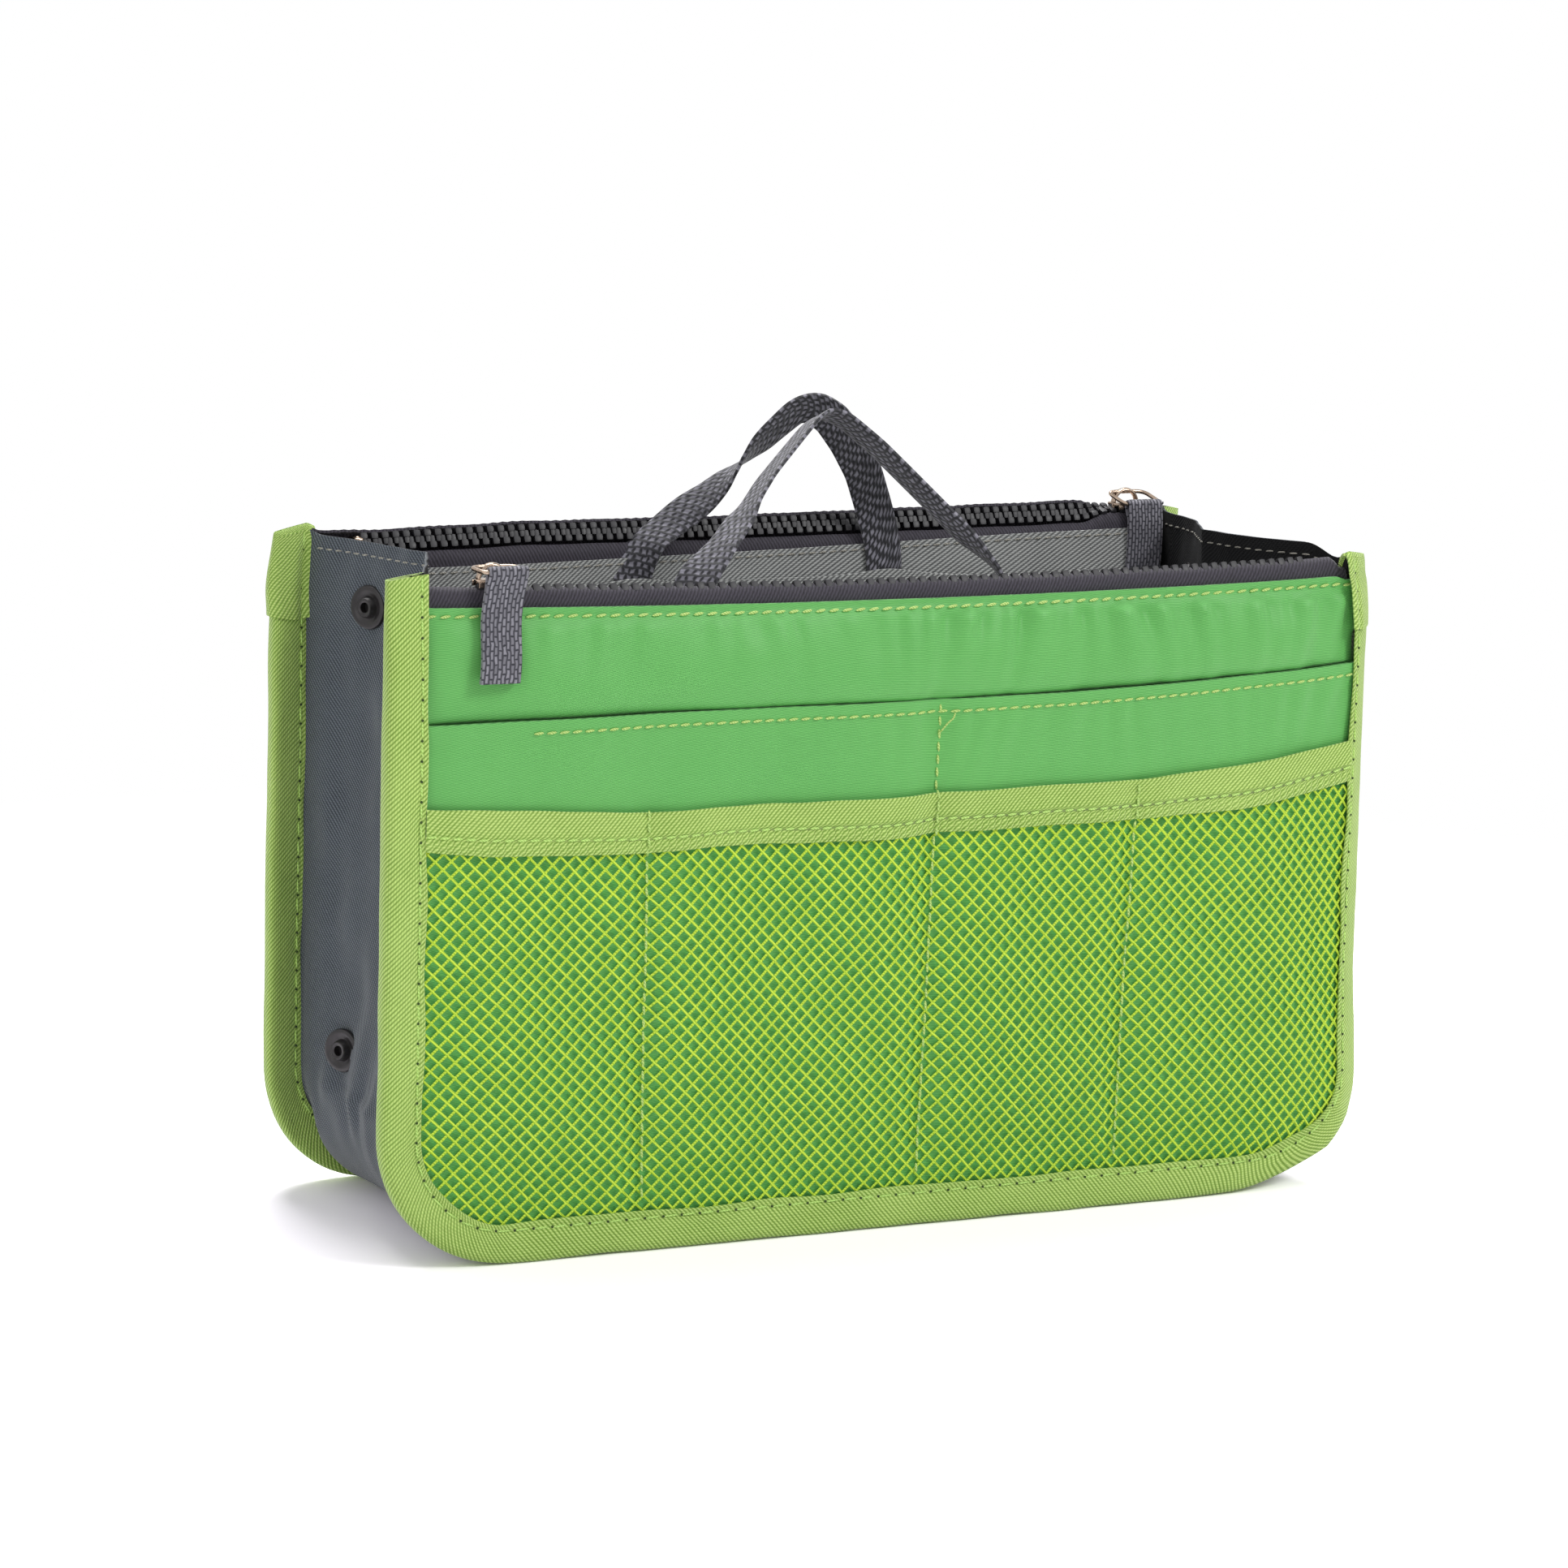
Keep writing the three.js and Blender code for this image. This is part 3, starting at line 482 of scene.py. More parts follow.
def slip_gape(x):
    """How far the slip pocket's edge stands off the panel."""
    return 0.6 + 1.0 * smooth((-50 - x) / 30) * smooth((x + 133) / 9) + 0.9 * bump_at(x, 66, 24)


for side in ("front", "rear"):
    x, z = pouch_grid(seam_in, slip_edge, 190, 2.2)
    edge = np.interp(x, *slip_edge)
    depth = slip_depth + face(x, z) + slip_gape(x) * smooth((z - edge + 24) / 24) * (1 - bump_at(x, 11, 5))
    depth = depth + 0.45 * puckers(x, z, edge - 3.2, 23) - 0.3 * bump_at(z, edge - 3.3, 0.9)
    shape = slab(stand(side, x, depth, z), cloth + 0.6 * smooth((z - edge + 3.4) / 0.9))
    slip = lay(side, "slip_cloth", shape, green_nylon, "slip_pocket")

# Net pockets: lime knotted net of diamonds, 4.2 by 4.2 mm and narrower where it is gathered at the right,
# sewn under the binding at the sides and bottom, under a folded band of twill, and down three seams.
net_depth = 46.9
diamond_width = 4.4
diamond_height = 4.2
band_top = (
    [-133, -88, -71, -53, -3, 12, 50, 72, 99, 133],
    [121.3, 118.7, 117.5, 118.2, 117.9, 118.5, 119.2, 119.4, 121.7, 126.4],
)
band_foot = (
    [-133, -116, -72, -53, -3, 12, 50, 73, 100, 133],
    [110.4, 108.3, 106.9, 107.9, 106.8, 107.7, 108.3, 108.5, 109.6, 115.1],
)
strand_inputs = {"Lines": "Geometry", "Strand Radius": "Float", "Strand Sides": "Int"}


def tree_with(name, inputs, output):
    """An empty tree with named inputs, the last its material, and one output, and its inputs' sockets."""
    tree = bpy.data.node_groups.new(name, "GeometryNodeTree")
    for label, kind in (*inputs.items(), ("Material", "Material")):
        tree.interface.new_socket(label, in_out="INPUT", socket_type="NodeSocket" + kind)
    tree.interface.new_socket(output, in_out="OUTPUT", socket_type="NodeSocketGeometry")
    return tree, add(tree, "NodeGroupInput", output=None).outputs


def end_tree(tree, shape, material, output):
    """Ends a tree: its shapes are made real and get one material."""
    real = add(tree, "GeometryNodeRealizeInstances", {"Geometry": shape})
    dressed = add(tree, "GeometryNodeSetMaterial", {"Geometry": real, "Material": material})
    add(tree, "NodeGroupOutput", {output: dressed}, None)
    return tree


def strand_tree():
    """A tree that turns lines into closed strands of one material: the net's, and a loose end of thread."""
    tree, given = tree_with("strands", strand_inputs, "Strands")
    path = add(tree, "GeometryNodeMeshToCurve", {"Mesh": given["Lines"]})
    round_of = {"Resolution": given["Strand Sides"], "Radius": given["Strand Radius"]}
    ring = add(tree, "GeometryNodeCurvePrimitiveCircle", round_of)
    tube = add(tree, "GeometryNodeCurveToMesh", {"Curve": path, "Profile Curve": ring, "Fill Caps": True})
    return end_tree(tree, tube, given["Material"], "Strands")


def grow(name, tree, lines, values, body, nodes=()):
    """Runs a tree over lines of points in millimetres, each with the way it faces, and keeps the mesh."""
    points = np.concatenate([line for line, _ in lines])
    facing = np.concatenate([np.broadcast_to(way, line.shape) for line, way in lines]).astype(np.float32)
    edges = []
    start = 0
    for line, _ in lines:
        edges.extend((start + i, start + i + 1) for i in range(len(line) - 1))
        start += len(line)
    mesh = bpy.data.meshes.new(name + "_lines")
    mesh.from_pydata((lean(points) / 1000).tolist(), edges, [])
    mesh.attributes.new("facing", "FLOAT_VECTOR", "POINT").data.foreach_set("vector", facing.ravel())
    source = put(name + "_lines", mesh)
    modifier = source.modifiers.new("tree", "NODES")
    modifier.node_group = tree
    for item in tree.interface.items_tree:
        if item.in_out == "INPUT" and item.name in values:
            modifier[item.identifier] = values[item.name]
    ready = source.evaluated_get(bpy.context.evaluated_depsgraph_get())
    plain = bpy.data.meshes.new_from_object(ready)
    bpy.data.objects.remove(source)
    plain.name = name
    plain.shade_smooth()
    plain.set_sharp_from_angle(angle=math.radians(60))
    return settle(name, plain, body, nodes)


def twisted(name, dark, light, pitch, rough):
    """Thread or strand: fine slanting bands of two tones on the object's own coordinates."""
    material = bpy.data.materials.new(name)
    tree = blank(material)
    spot = add(tree, "ShaderNodeTexCoord", output="Object")
    bands = waves(tree, spot, pitch, "DIAGONAL", Distortion=2.0, Detail=1.0)
    tint = between(tree, bands, colour(dark), colour(light))
    relief = raise_by(tree, bands, 0.6, 0.0001)
    return skin_of(material, {"Base Color": tint, "Roughness": rough, "Normal": relief})


whole = np.arange(-150, 151)
gathered = ([-150, -100, -60, 0, 60, 90, 115, 150], [1, 0.965, 0.95, 0.93, 0.92, 0.84, 0.75, 0.72])
unrolled = np.cumsum(1 / np.interp(whole, *gathered))
unrolled = unrolled - unrolled[150]
strands = strand_tree()
lime_strand = twisted("lime_net", (166, 202, 34), (214, 240, 76), 0.0005, 0.5)
for side in ("front", "rear"):
    lines = []
    for slope in (1, -1):
        for k in range(-64, 65):
            z = np.arange(1.4, 114, diamond_height / 4)
            x = k * diamond_width + slope * (z - 57) * diamond_width / diamond_height
            x = np.interp(x, unrolled, whole)
            x = x + 0.5 * wander(x, z, 41, 50)
            keep = (inset_of(x, z) > 1.4) & (z < np.interp(x, *band_foot) + 4)
            if keep.sum() < 3:
                continue
            x = x[keep]
            z = z[keep]
            lift = 0.15 + 0.7 * np.abs(wander(x, z, 43, 34)) * smooth((inset_of(x, z) - 9) / 8)
            depth = net_depth + face(x, z) + lift * (1 - at_seams(x, (middle_seam, *side_seams), 3))
            lines.append((stand(side, x, depth, z), (0, -1, 0)))
    values = {"Strand Radius": 0.00037, "Strand Sides": 5, "Material": lime_strand}
    grow(f"{side}_net_strands", strands, lines, values, body_for(side), [f"{side}_net_pocket"])

# Net bands: a strip of lime twill folded over the net's top edge and stitched along its foot, a little
# below the strip's middle, where the stitches draw a groove.
band_depth = 47.95
stitched_at = 0.36
lime_twill = woven("lime_twill", ((104, 144, 42), (212, 238, 140)), 0.00095, 0.0007, 42, 0.00025, 0.85, 0.3)
for side in ("front", "rear"):
    x = np.linspace(-132.3, 132.3, 560)
    foot = np.interp(x, *band_foot)
    crest = np.interp(x, *band_top)
    up = np.linspace(0, 1, 17)[:, None]
    z = foot + up * (crest - foot) + 0.15 * wander(x, 0, 51, 18)
    ribs = 0.16 * np.sin(x / 0.3 + wander(x, z, 52, 25)) * smooth((0.42 - up) / 0.12)
    groove = 0.22 * bump_at(up, stitched_at, 0.06)
    depth = band_depth + face(x, z) + ribs - groove + 0.15 * wander(x, z, 53, 20)
    thick = 0.45 + 0.65 * smooth(up / 0.08) * smooth((1.04 - up) / 0.08)
    shape = slab(stand(side, x, depth, z), thick)
    lay(side, "net_band_twill", shape, lime_twill, "net_band")

# Inner walls: grey twill that closes each pouch towards the middle of the bag. It is flat over the zipped
# pocket, slopes out to its sewn rim, and is top-stitched to the zip tape above.
lining_tones = ((58, 60, 62), (206, 208, 206))
lining_twill = woven("grey_lining", lining_tones, 0.00105, 0.0006, -52, 0.0002, 0.85, 0.25)
rim_depth = 44.2
wall_edge = {
    "front": ([-142, -75, 0, 75, 142], [170.6, 169.2, 168.4, 169.2, 170.6]),
    "rear": ([-142, -118, -75, -4, 75, 142], [175.4, 176.0, 175.2, 172.8, 170.8, 170.2]),
}
for side in ("front", "rear"):
    x, z = pouch_grid(seam_in, wall_edge[side], 170, 3)
    slope = smooth((inset_of(x, z) - 11.6) / 7)
    depth = rim_depth - 7.9 * slope + 0.35 * wander(x, z, 61, 45) * slope * smooth((160 - z) / 20)
    shape = slab(stand(side, x, depth, z), cloth)
    wall_cloth = lay(side, "inner_wall_twill", shape, lining_twill, "inner_wall")

# Inner pockets: a slip pocket of the same twill on each inner wall, sewn down three sides. Its mouth hangs
# open a little on both sides of the handle's feet.
pocket_mouth = {"front": 165.0, "rear": 164.6}
pocket_half = 104.9
handle_feet = {"front": (-55, 36), "rear": (42, -34)}
for side in ("front", "rear"):
    x = np.linspace(-pocket_half, pocket_half, 130)
    up = np.concatenate([np.linspace(38, 140, 34), np.linspace(140, pocket_mouth[side], 18)[1:]])[:, None]
    at_feet = sum(bump_at(x, foot, 9) for foot in handle_feet[side])
    sag = 0.8 * bump_at(x, -42, 40) if side == "rear" else 0
    z = up + (1.6 * at_feet + sag - 1.0 * bump_at(x, -72, 24)) * smooth((up - 140) / 24)
    open_share = smooth((up - 128) / 34) * smooth((pocket_half - np.abs(x)) / 14)
    at_feet = at_feet + (1.0 * bump_at(x, -42, 36) if side == "rear" else 0)
    gape = 1.4 * at_feet + 2.2 * bump_at(x, -72, 22) + 1.4 * bump_at(x, 78, 18)
    gape = gape + 0.5 + 0.3 * wander(x, 0, 71, 30)
    thick = cloth + 0.5 * smooth((up - pocket_mouth[side] + 5) / 0.8)
    shape = slab(stand(side, x, 35.4 - gape * open_share, z), thick)
    pocket = lay(side, "inner_pocket_twill", shape, lining_twill, "inner_pocket")

# Zip tapes: charcoal woven tape. The outer one is rolled over the row of teeth, so that it shows as a
# smooth edge above the green panel. The inner one shows as a narrow strip above the twill.
mouth_sink = {"front": 4.5, "rear": 0.0}
chain_depth = 40.7
tooth_pitch = 3.0
tape_tones = ((15, 13, 19), (69, 65, 75))
tape_weave = woven("charcoal_tape", tape_tones, 0.0009, 0.0007, 60, 0.0001, 0.7, 0.3, 0.16, 0.3)
tape_paths = {
    "front_outer": ([44.2, 44.2, 44.25, 43.9, 43.1, 42.1], [159.5, 170.6, 172.4, 173.8, 174.5, 174.4]),
    "front_inner": ([37.2, 37.2, 37.25, 37.7, 38.6], [159.5, 170.6, 172.0, 172.8, 173.4]),
    "rear_outer": ([44.2, 44.2, 44.2, 43.7, 42.6, 41.4], [164, 177.0, 179.2, 180.7, 181.6, 181.6]),
    "rear_inner": ([37.2, 37.2, 37.25, 37.7, 38.5], [164, 171.4, 173.2, 174.6, 175.5]),
    "level_outer": ([44.2, 44.2, 44.25, 43.9, 43.0, 42.0], [164, 175.0, 177.0, 178.5, 179.35, 179.4]),
    "level_inner": ([37.2, 37.2, 37.25, 37.7, 38.6], [164, 174.1, 176.2, 177.6, 178.3]),
}


def soften(line, passes):
    """Rounds the corners of a line of points by averaging, with its ends left in place."""
    for _ in range(passes):
        line[1:-1] = (line[:-2] + 2 * line[1:-1] + line[2:]) / 4
    return line


def flow(points, count, passes):
    """A smooth line of evenly spaced points through these."""
    points = np.asarray(points, float)
    reach = run_of(points)
    share = np.linspace(0, reach[-1], count)
    return soften(np.stack([np.interp(share, reach, column) for column in points.T], -1), passes)


def level_share(side, x):
    """Where the chain lies level: under the rear slider."""
    return smooth((-x - 99) / 11) if side == "rear" else 0 * x


for side in ("front", "rear"):
    for part in ("outer", "inner"):
        section = flow(np.transpose(tape_paths[f"{side}_{part}"]), 22, 6).T
        flat = flow(np.transpose(tape_paths[f"level_{part}"]), 22, 6).T
        reach = 131.8 if part == "outer" else 127.4
        x = np.linspace(-reach, reach, 190)[:, None]
        share = level_share(side, x)
        z = section[1] * (1 - share) + flat[1] * share
        soft = smooth((z - z[:, :1] - 6) / 6)
        depth = section[0] * (1 - share) + flat[0] * share + 0.2 * wander(x, z, 81, 16) * soft
        beads = 0.12 * np.sin(2 * math.pi * x / tooth_pitch) * smooth((z - z[:, :1] - 14) / 2)
        uneven = 0.16 * wander(x, 0, 82, 20) + (beads if part == "outer" else 0)
        z = z + mouth_droop(side, x, z) + uneven * soft
        shape = slab(stand(side, x, depth, z), 0.7)
        lay(side, f"{part}_tape_cloth", shape, tape_weave, f"{part}_zip_tape")

# Zip teeth: moulded black nylon teeth at 3 mm, clamped on the two tapes' edges and meshed. The outer row
# stands higher: a little under a slider, and so much along the rear mouth that the chain faces inwards.
tooth_reach = 1.7
tooth_inputs = {"Tape Edge": "Geometry", "Tooth Pitch": "Float"}
tooth_inputs.update({"Clamp Size": "Vector", "Head Size": "Vector", "Head Reach": "Float"})


def chain_at(side, x):
    """The chain's turn, depth and height along the mouth."""
    turn, depth, height = {"front": (30, 40.7, 173.5), "rear": (64, 39.8, 178.6)}[side]
    share = level_share(side, x)
    turn = np.radians(turn * (1 - share) + 18 * share)
    return turn, depth * (1 - share) + chain_depth * share, height * (1 - share) + 179.0 * share


def plastic(name, base, rough, metal=0.0, scale=260, relief=0.00004):
    """Moulded plastic or plated metal, with the fine unevenness of a moulding and worn tones."""
    material = bpy.data.materials.new(name)
    tree = blank(material)
    cloud = noise(tree, add(tree, "ShaderNodeTexCoord", output="Object"), scale, 4, 0.6)
    worn = [min(255, c * 1.35 + 8) for c in base]
    tint = between(tree, cloud, colour([c * 0.8 for c in base]), colour(worn))
    polish = {"Value": cloud, "From Min": 0.3, "From Max": 0.7}
    polish.update({"To Min": rough - 0.08, "To Max": rough + 0.1})
    gloss = add(tree, "ShaderNodeMapRange", polish)
    bump = raise_by(tree, cloud, 0.5, relief)
    return skin_of(material, {"Base Color": tint, "Roughness": gloss, "Metallic": metal, "Normal": bump})


def spots_along(tree, line, pitch, facing_axis):
    """Points at each pitch along a line, and the turn by which this axis faces as the line's points say."""
    curve = add(tree, "GeometryNodeMeshToCurve", {"Mesh": line})
    pitched = {"Curve": curve, "Length": pitch}
    spots = add(tree, "GeometryNodeCurveToPoints", pitched, None, mode="LENGTH").outputs
    facing = add(tree, "GeometryNodeInputNamedAttribute", {"Name": "facing"}, data_type="FLOAT_VECTOR")
    along = add(tree, "FunctionNodeAlignRotationToVector", {"Vector": spots["Tangent"]}, axis="X")
    both = {"Rotation": along, "Vector": facing}
    turned = add(tree, "FunctionNodeAlignRotationToVector", both, axis=facing_axis, pivot_axis="X")
    return spots["Points"], turned


def teeth_tree():
    """A tree that sets one moulded tooth, a clamp with a narrower head, at each pitch along a line."""
    tree, given = tree_with("zip_teeth", tooth_inputs, "Teeth")
    points, turned = spots_along(tree, given["Tape Edge"], given["Tooth Pitch"], "Y")
    clamp = add(tree, "GeometryNodeMeshCube", {"Size": given["Clamp Size"]})
    head = add(tree, "GeometryNodeMeshCube", {"Size": given["Head Size"]})
    shift = add(tree, "ShaderNodeCombineXYZ", {"Y": given["Head Reach"]})
    forward_head = add(tree, "GeometryNodeTransform", {"Geometry": head, "Translation": shift})
    both = add(tree, "GeometryNodeJoinGeometry", {0: forward_head}, None)
    tree.links.new(clamp, both.inputs[0])
    crease = {"Mesh": both.outputs[0], "Level": 1, "Edge Crease": 0.35}
    rounded = add(tree, "GeometryNodeSubdivisionSurface", crease)
    placing = {"Points": points, "Instance": rounded, "Rotation": turned}
    placed = add(tree, "GeometryNodeInstanceOnPoints", placing)
    return end_tree(tree, placed, given["Material"], "Teeth")


black_teeth = plastic("black_teeth", (19, 18, 22), 0.48)
teeth = teeth_tree()
tooth_values = {
    "Tooth Pitch": tooth_pitch / 1000,
    "Clamp Size": (0.0022, 0.0022, 0.0025),
    "Head Size": (0.0015, 0.0028, 0.0019),
    "Head Reach": 0.0014,
    "Material": black_teeth,
}
for side in ("front", "rear"):
    for part, sign in (("outer", 1), ("inner", -1)):
        stagger = sign * tooth_pitch / 4
        x = np.linspace(-117.5 + stagger, 117.5 + stagger, 90)
        turn, depth, height = chain_at(side, x)
        depth = depth + sign * tooth_reach * np.cos(turn)
        z = height + sign * tooth_reach * np.sin(turn) + mouth_droop(side, x, height)
        facing = stand(side, 0, -sign * np.cos(turn), -sign * np.sin(turn))
        line = [(stand(side, x, depth, z), facing)]
        row = f"{side}_{part}_tooth_row"
        grow(row, teeth, line, tooth_values, body_for(side), [f"{side}_{part}_teeth"])

# Zip stops, sliders and pull rings: plated metal with a brownish silver finish. The slider is two shaped
# plates on a post, with a lug on top, and the ring is a loop of wire through the lug.
old_silver = plastic("zip_metal", (140, 124, 110), 0.26, 1.0, 420, 0.00003)
slider_rest = 113.0
slider_top = 182.0
ring_top = 186.0
ring_reach = {"front": (7.3, 0.5), "rear": (4.6, 3.4)}
ring_skew = {"front": 1.2, "rear": -4.0}
stop_drop = {"front": 3.2, "rear": 1.6}


def block(size, place):
    """The corners and faces of a block, for a bevel to round."""
    span = np.array([(a, b, c) for a in (-1, 1) for b in (-1, 1) for c in (-1, 1)]) / 2
    faces = [(0, 1, 3, 2), (4, 6, 7, 5), (0, 4, 5, 1), (2, 3, 7, 6), (0, 2, 6, 4), (1, 5, 7, 3)]
    return span * size + place, faces


def together(*parts):
    """Several closed shapes as one list of points and faces."""
    faces = []
    start = 0
    for points, part_faces in parts:
        faces.extend([start + i for i in corners] for corners in part_faces)
        start += len(points)
    return np.concatenate([points for points, _ in parts]), faces


def rounded(piece, width, segments=2):
    """Bevels a piece's edges for good."""
    bevel = piece.modifiers.new("bevel", "BEVEL")
    bevel.width = width
    bevel.segments = segments
    bevel.limit_method = "ANGLE"
    ready = bpy.data.meshes.new_from_object(piece.evaluated_get(bpy.context.evaluated_depsgraph_get()))
    piece.modifiers.clear()
    old = piece.data
    piece.data = ready
    ready.name = old.name
    bpy.data.meshes.remove(old)
    ready.shade_smooth()
    ready.set_sharp_from_angle(angle=math.radians(35))


def prism(outline, low, high):
    """A closed block over an outline drawn in X and depth."""
    count = len(outline)
    points = [(x, d, low) for x, d in outline] + [(x, d, high) for x, d in outline]
    faces = [(i, (i + 1) % count, (i + 1) % count + count, i + count) for i in range(count)]
    faces.append(tuple(range(count - 1, -1, -1)))
    faces.append(tuple(range(count, 2 * count)))
    return np.array(points, float), faces


def tube(line, radius, sides, closed, flat=1.0):
    """A round wire along a line of points, closed on itself or capped."""
    count = len(line)
    ahead = np.roll(line, -1, 0) - np.roll(line, 1, 0)
    if not closed:
        ahead[0] = line[1] - line[0]
        ahead[-1] = line[-1] - line[-2]
    ahead = unit(ahead)
    thinnest = np.eye(3)[int(np.argmin(np.ptp(line, axis=0)))]
    plane = np.linalg.svd(line - line.mean(0))[2][2] if closed else thinnest
    side_way = unit(np.cross(ahead, plane))
    other = np.cross(ahead, side_way)
    points = []
    for k in range(sides):
        angle = 2 * math.pi * k / sides
        points.append(line + radius * (math.cos(angle) * side_way + flat * math.sin(angle) * other))
    faces = []
    for i in range(count if closed else count - 1):
        j = (i + 1) % count
        for k in range(sides):
            m = (k + 1) % sides
            faces.append((i * sides + k, i * sides + m, j * sides + m, j * sides + k))
    if not closed:
        faces.append(tuple(range(sides - 1, -1, -1)))
        faces.append(tuple((count - 1) * sides + k for k in range(sides)))
    return np.stack(points, 1).reshape(-1, 3), faces


def unlean(points):
    """Metal that slides stays where its CAD node is, so it is shifted back before the pouches' lean."""
    flat = points.reshape(-1, 3)
    return (2 * flat - lean(flat)).reshape(points.shape)


shield = [(4.5, 2.0), (3.4, 2.6), (-1.5, 2.55), (-3.6, 1.7), (-4.5, 0.9)]
shield = [*shield, *[(x, -d) for x, d in shield[::-1]], (3.7, -0.9), (3.7, 0.9)]
for side in ("front", "rear"):
    sink = mouth_sink[side]
    top = slider_top - sink
    ring_hole = ring_top - sink
    bridge = [(-3.8, 0, ring_hole - 3.2), (-3.2, 0, ring_hole - 1.0), (-1.4, 0, ring_hole + 0.45)]
    bridge = [*bridge, (0, 0, ring_hole + 0.7), *[(-x, 0, z) for x, _, z in bridge[::-1]]]
    points, faces = together(
        prism(shield, top, top + 0.9),
        prism([(x * 0.96, d * 0.8) for x, d in shield], 178.1 - sink, 178.9 - sink),
        block((2.0, 0.9, 4.2), (3.0, 0, 180.4 - sink)),
        block((7.6, 0.5, 1.5), (-0.6, 2.45, top - 0.3)),
        block((7.6, 0.5, 1.5), (-0.6, -2.45, top - 0.3)),
        tube(flow(bridge, 18, 3), 0.62, 8, False, 1.9),
    )
    points = points + (-slider_rest, chain_depth, 0)
    shape = (unlean(stand(side, *points.T)), faces, None)
    body = f"{side}_slider"
    rounded(make(f"{side}_slider_metal", shape, old_silver, body, [body]), 0.00022)
    reach, drop = ring_reach[side]
    angle = 2 * math.pi * np.arange(40) / 40
    wide = 5.9 * np.sign(np.cos(angle)) * np.abs(np.cos(angle)) ** 0.45
    share = (1 + np.sign(np.sin(angle)) * np.abs(np.sin(angle)) ** 0.45) / 2
    x = wide - slider_rest + ring_skew[side] * share
    loop = stand(side, x, chain_depth + turn_of(side) * reach * share, ring_hole - drop * share)
    points, faces = tube(loop, 0.6, 10, True)
    shape = (unlean(points), faces, None)
    body = f"{side}_pull"
    make(f"{side}_pull_wire", shape, old_silver, body, [f"{side}_pull_ring"], crease=80)
    for part, place in (("closed", -120.05), ("open", 120.05)):
        droop = mouth_droop(side, np.array(place), np.array(180.0 - sink)) - stop_drop[side]
        centre = (place, chain_depth, 180.4 - sink + float(droop))
        points, faces = together(block((2.4, 5.4, 2.6), centre), block((1.3, 3.0, 3.2), centre))
        shape = (stand(side, *points.T), faces, None)
        stop = lay(side, f"{part}_stop_metal", shape, old_silver, f"{part}_end_stop")
        rounded(stop, 0.0005, 3)

# Pull tabs: charcoal webbing folded round the ring's far bar, its two layers stitched flat. The front one
# hangs over the panel, and the rear one over the inner wall.
strap_half = 5.25
tab_end = {"front": 153.0, "rear": 155.0}
tab_tilt = {"front": 2.2, "rear": -1.0}


def webbing_cloth(name, dark, light, fleck, width, row, turned):
    """Ribbed webbing with a row of light flecks in every rib, each row shifted by half."""
    material = bpy.data.materials.new(name)
    tree = blank(material)
    _, place = cloth_place(tree, turned)
    nudge = add(tree, "ShaderNodeTexNoise", {"Vector": place, "Scale": 420, "Detail": 1}, "Color")
    nudge = {0: nudge, 1: (row * 0.7, row * 0.7, 0), 2: place}
    uneven = add(tree, "ShaderNodeVectorMath", nudge, operation="MULTIPLY_ADD")
    grains = {"Color1": white, "Color2": (0.55, 0.55, 0.55, 1), "Mortar": (0, 0, 0, 1), "Scale": 1.0}
    grains.update({"Mortar Size": row * 0.34, "Mortar Smooth": 0.75})
    grains.update({"Brick Width": width, "Row Height": row})
    brick = add(tree, "ShaderNodeTexBrick", {"Vector": uneven, **grains}, "Color")
    rib = waves(tree, place, row, "Y", Distortion=0.4)
    cloud = noise(tree, add(tree, "ShaderNodeTexCoord", output="Object"), 700, 3)
    flecked = between(tree, brick, between(tree, cloud, colour(dark), colour(light)), colour(fleck))
    inputs = {"Base Color": flecked, "Roughness": 0.75, "Sheen Weight": 0.25}
    inputs["Normal"] = raise_by(tree, rib, 0.8, 0.0002)
    return skin_of(material, inputs)


tab_webbing = webbing_cloth("pull_webbing", (28, 28, 36), (54, 54, 65), (146, 144, 154), 0.0024, 0.0011, 90)
for side in ("front", "rear"):
    reach, drop = ring_reach[side]
    bar_depth = chain_depth + turn_of(side) * reach
    bar_height = ring_top - mouth_sink[side] - drop
    strap = bar_depth if side == "front" else bar_depth - 1.3
    low = strap + 2.2 if side == "front" else strap
    path = [(low - 0.5, tab_end[side]), (strap - 0.1, bar_height - 12), (strap - 0.55, bar_height - 4)]
    round_bar = np.linspace(3.6, -0.5, 12)
    path += [(bar_depth + 1.35 * math.cos(a), bar_height + 1.35 * math.sin(a)) for a in round_bar]
    path += [(strap + 0.55, bar_height - 4), (strap + 0.9, bar_height - 12), (low + 0.5, tab_end[side])]
    line = flow(path, 120, 3)
    across = np.linspace(-strap_half, strap_half, 13)
    below = line[:, 1:] - bar_height
    tilt = below / 27 * tab_tilt[side] + ring_skew[side]
    x = across - slider_rest + tilt + 0.35 * np.sin(line[:, 1:] / 4)
    thick = 0.85 - 0.35 * (np.abs(across) > 4.9)
    shape = slab(unlean(stand(side, x, line[:, :1], line[:, 1:])), thick)
    nodes = [f"{side}_pull_tab"]
    make(f"{side}_pull_webbing", shape, tab_webbing, f"{side}_pull", nodes)

# Binding: one lime twill tape for each pouch, folded over the edge of all its layers down one side, along
# the bottom and up the other, and sewn through once near its inner edges.
binding_seam = 9.1
binding_section = [
    (10.6, 47.55), (10.95, 47.9), (10.7, 48.3), (9.9, 48.4), (9.1, 48.15), (8.3, 48.45), (6, 48.6),
    (3, 48.6), (1.2, 48.4), (0.3, 47.6), (0, 46.4), (-0.05, 45.1), (0, 43.8), (0.3, 42.6), (1.2, 41.8),
    (3, 41.6), (6, 41.6), (8.3, 41.75), (9.1, 42.05), (9.9, 41.8), (10.7, 41.9), (10.95, 42.3),
    (10.6, 42.65), (6, 42.7), (1.1, 42.9), (0.8, 43.6), (0.8, 46.6), (1.1, 47.3), (6, 47.5),
]


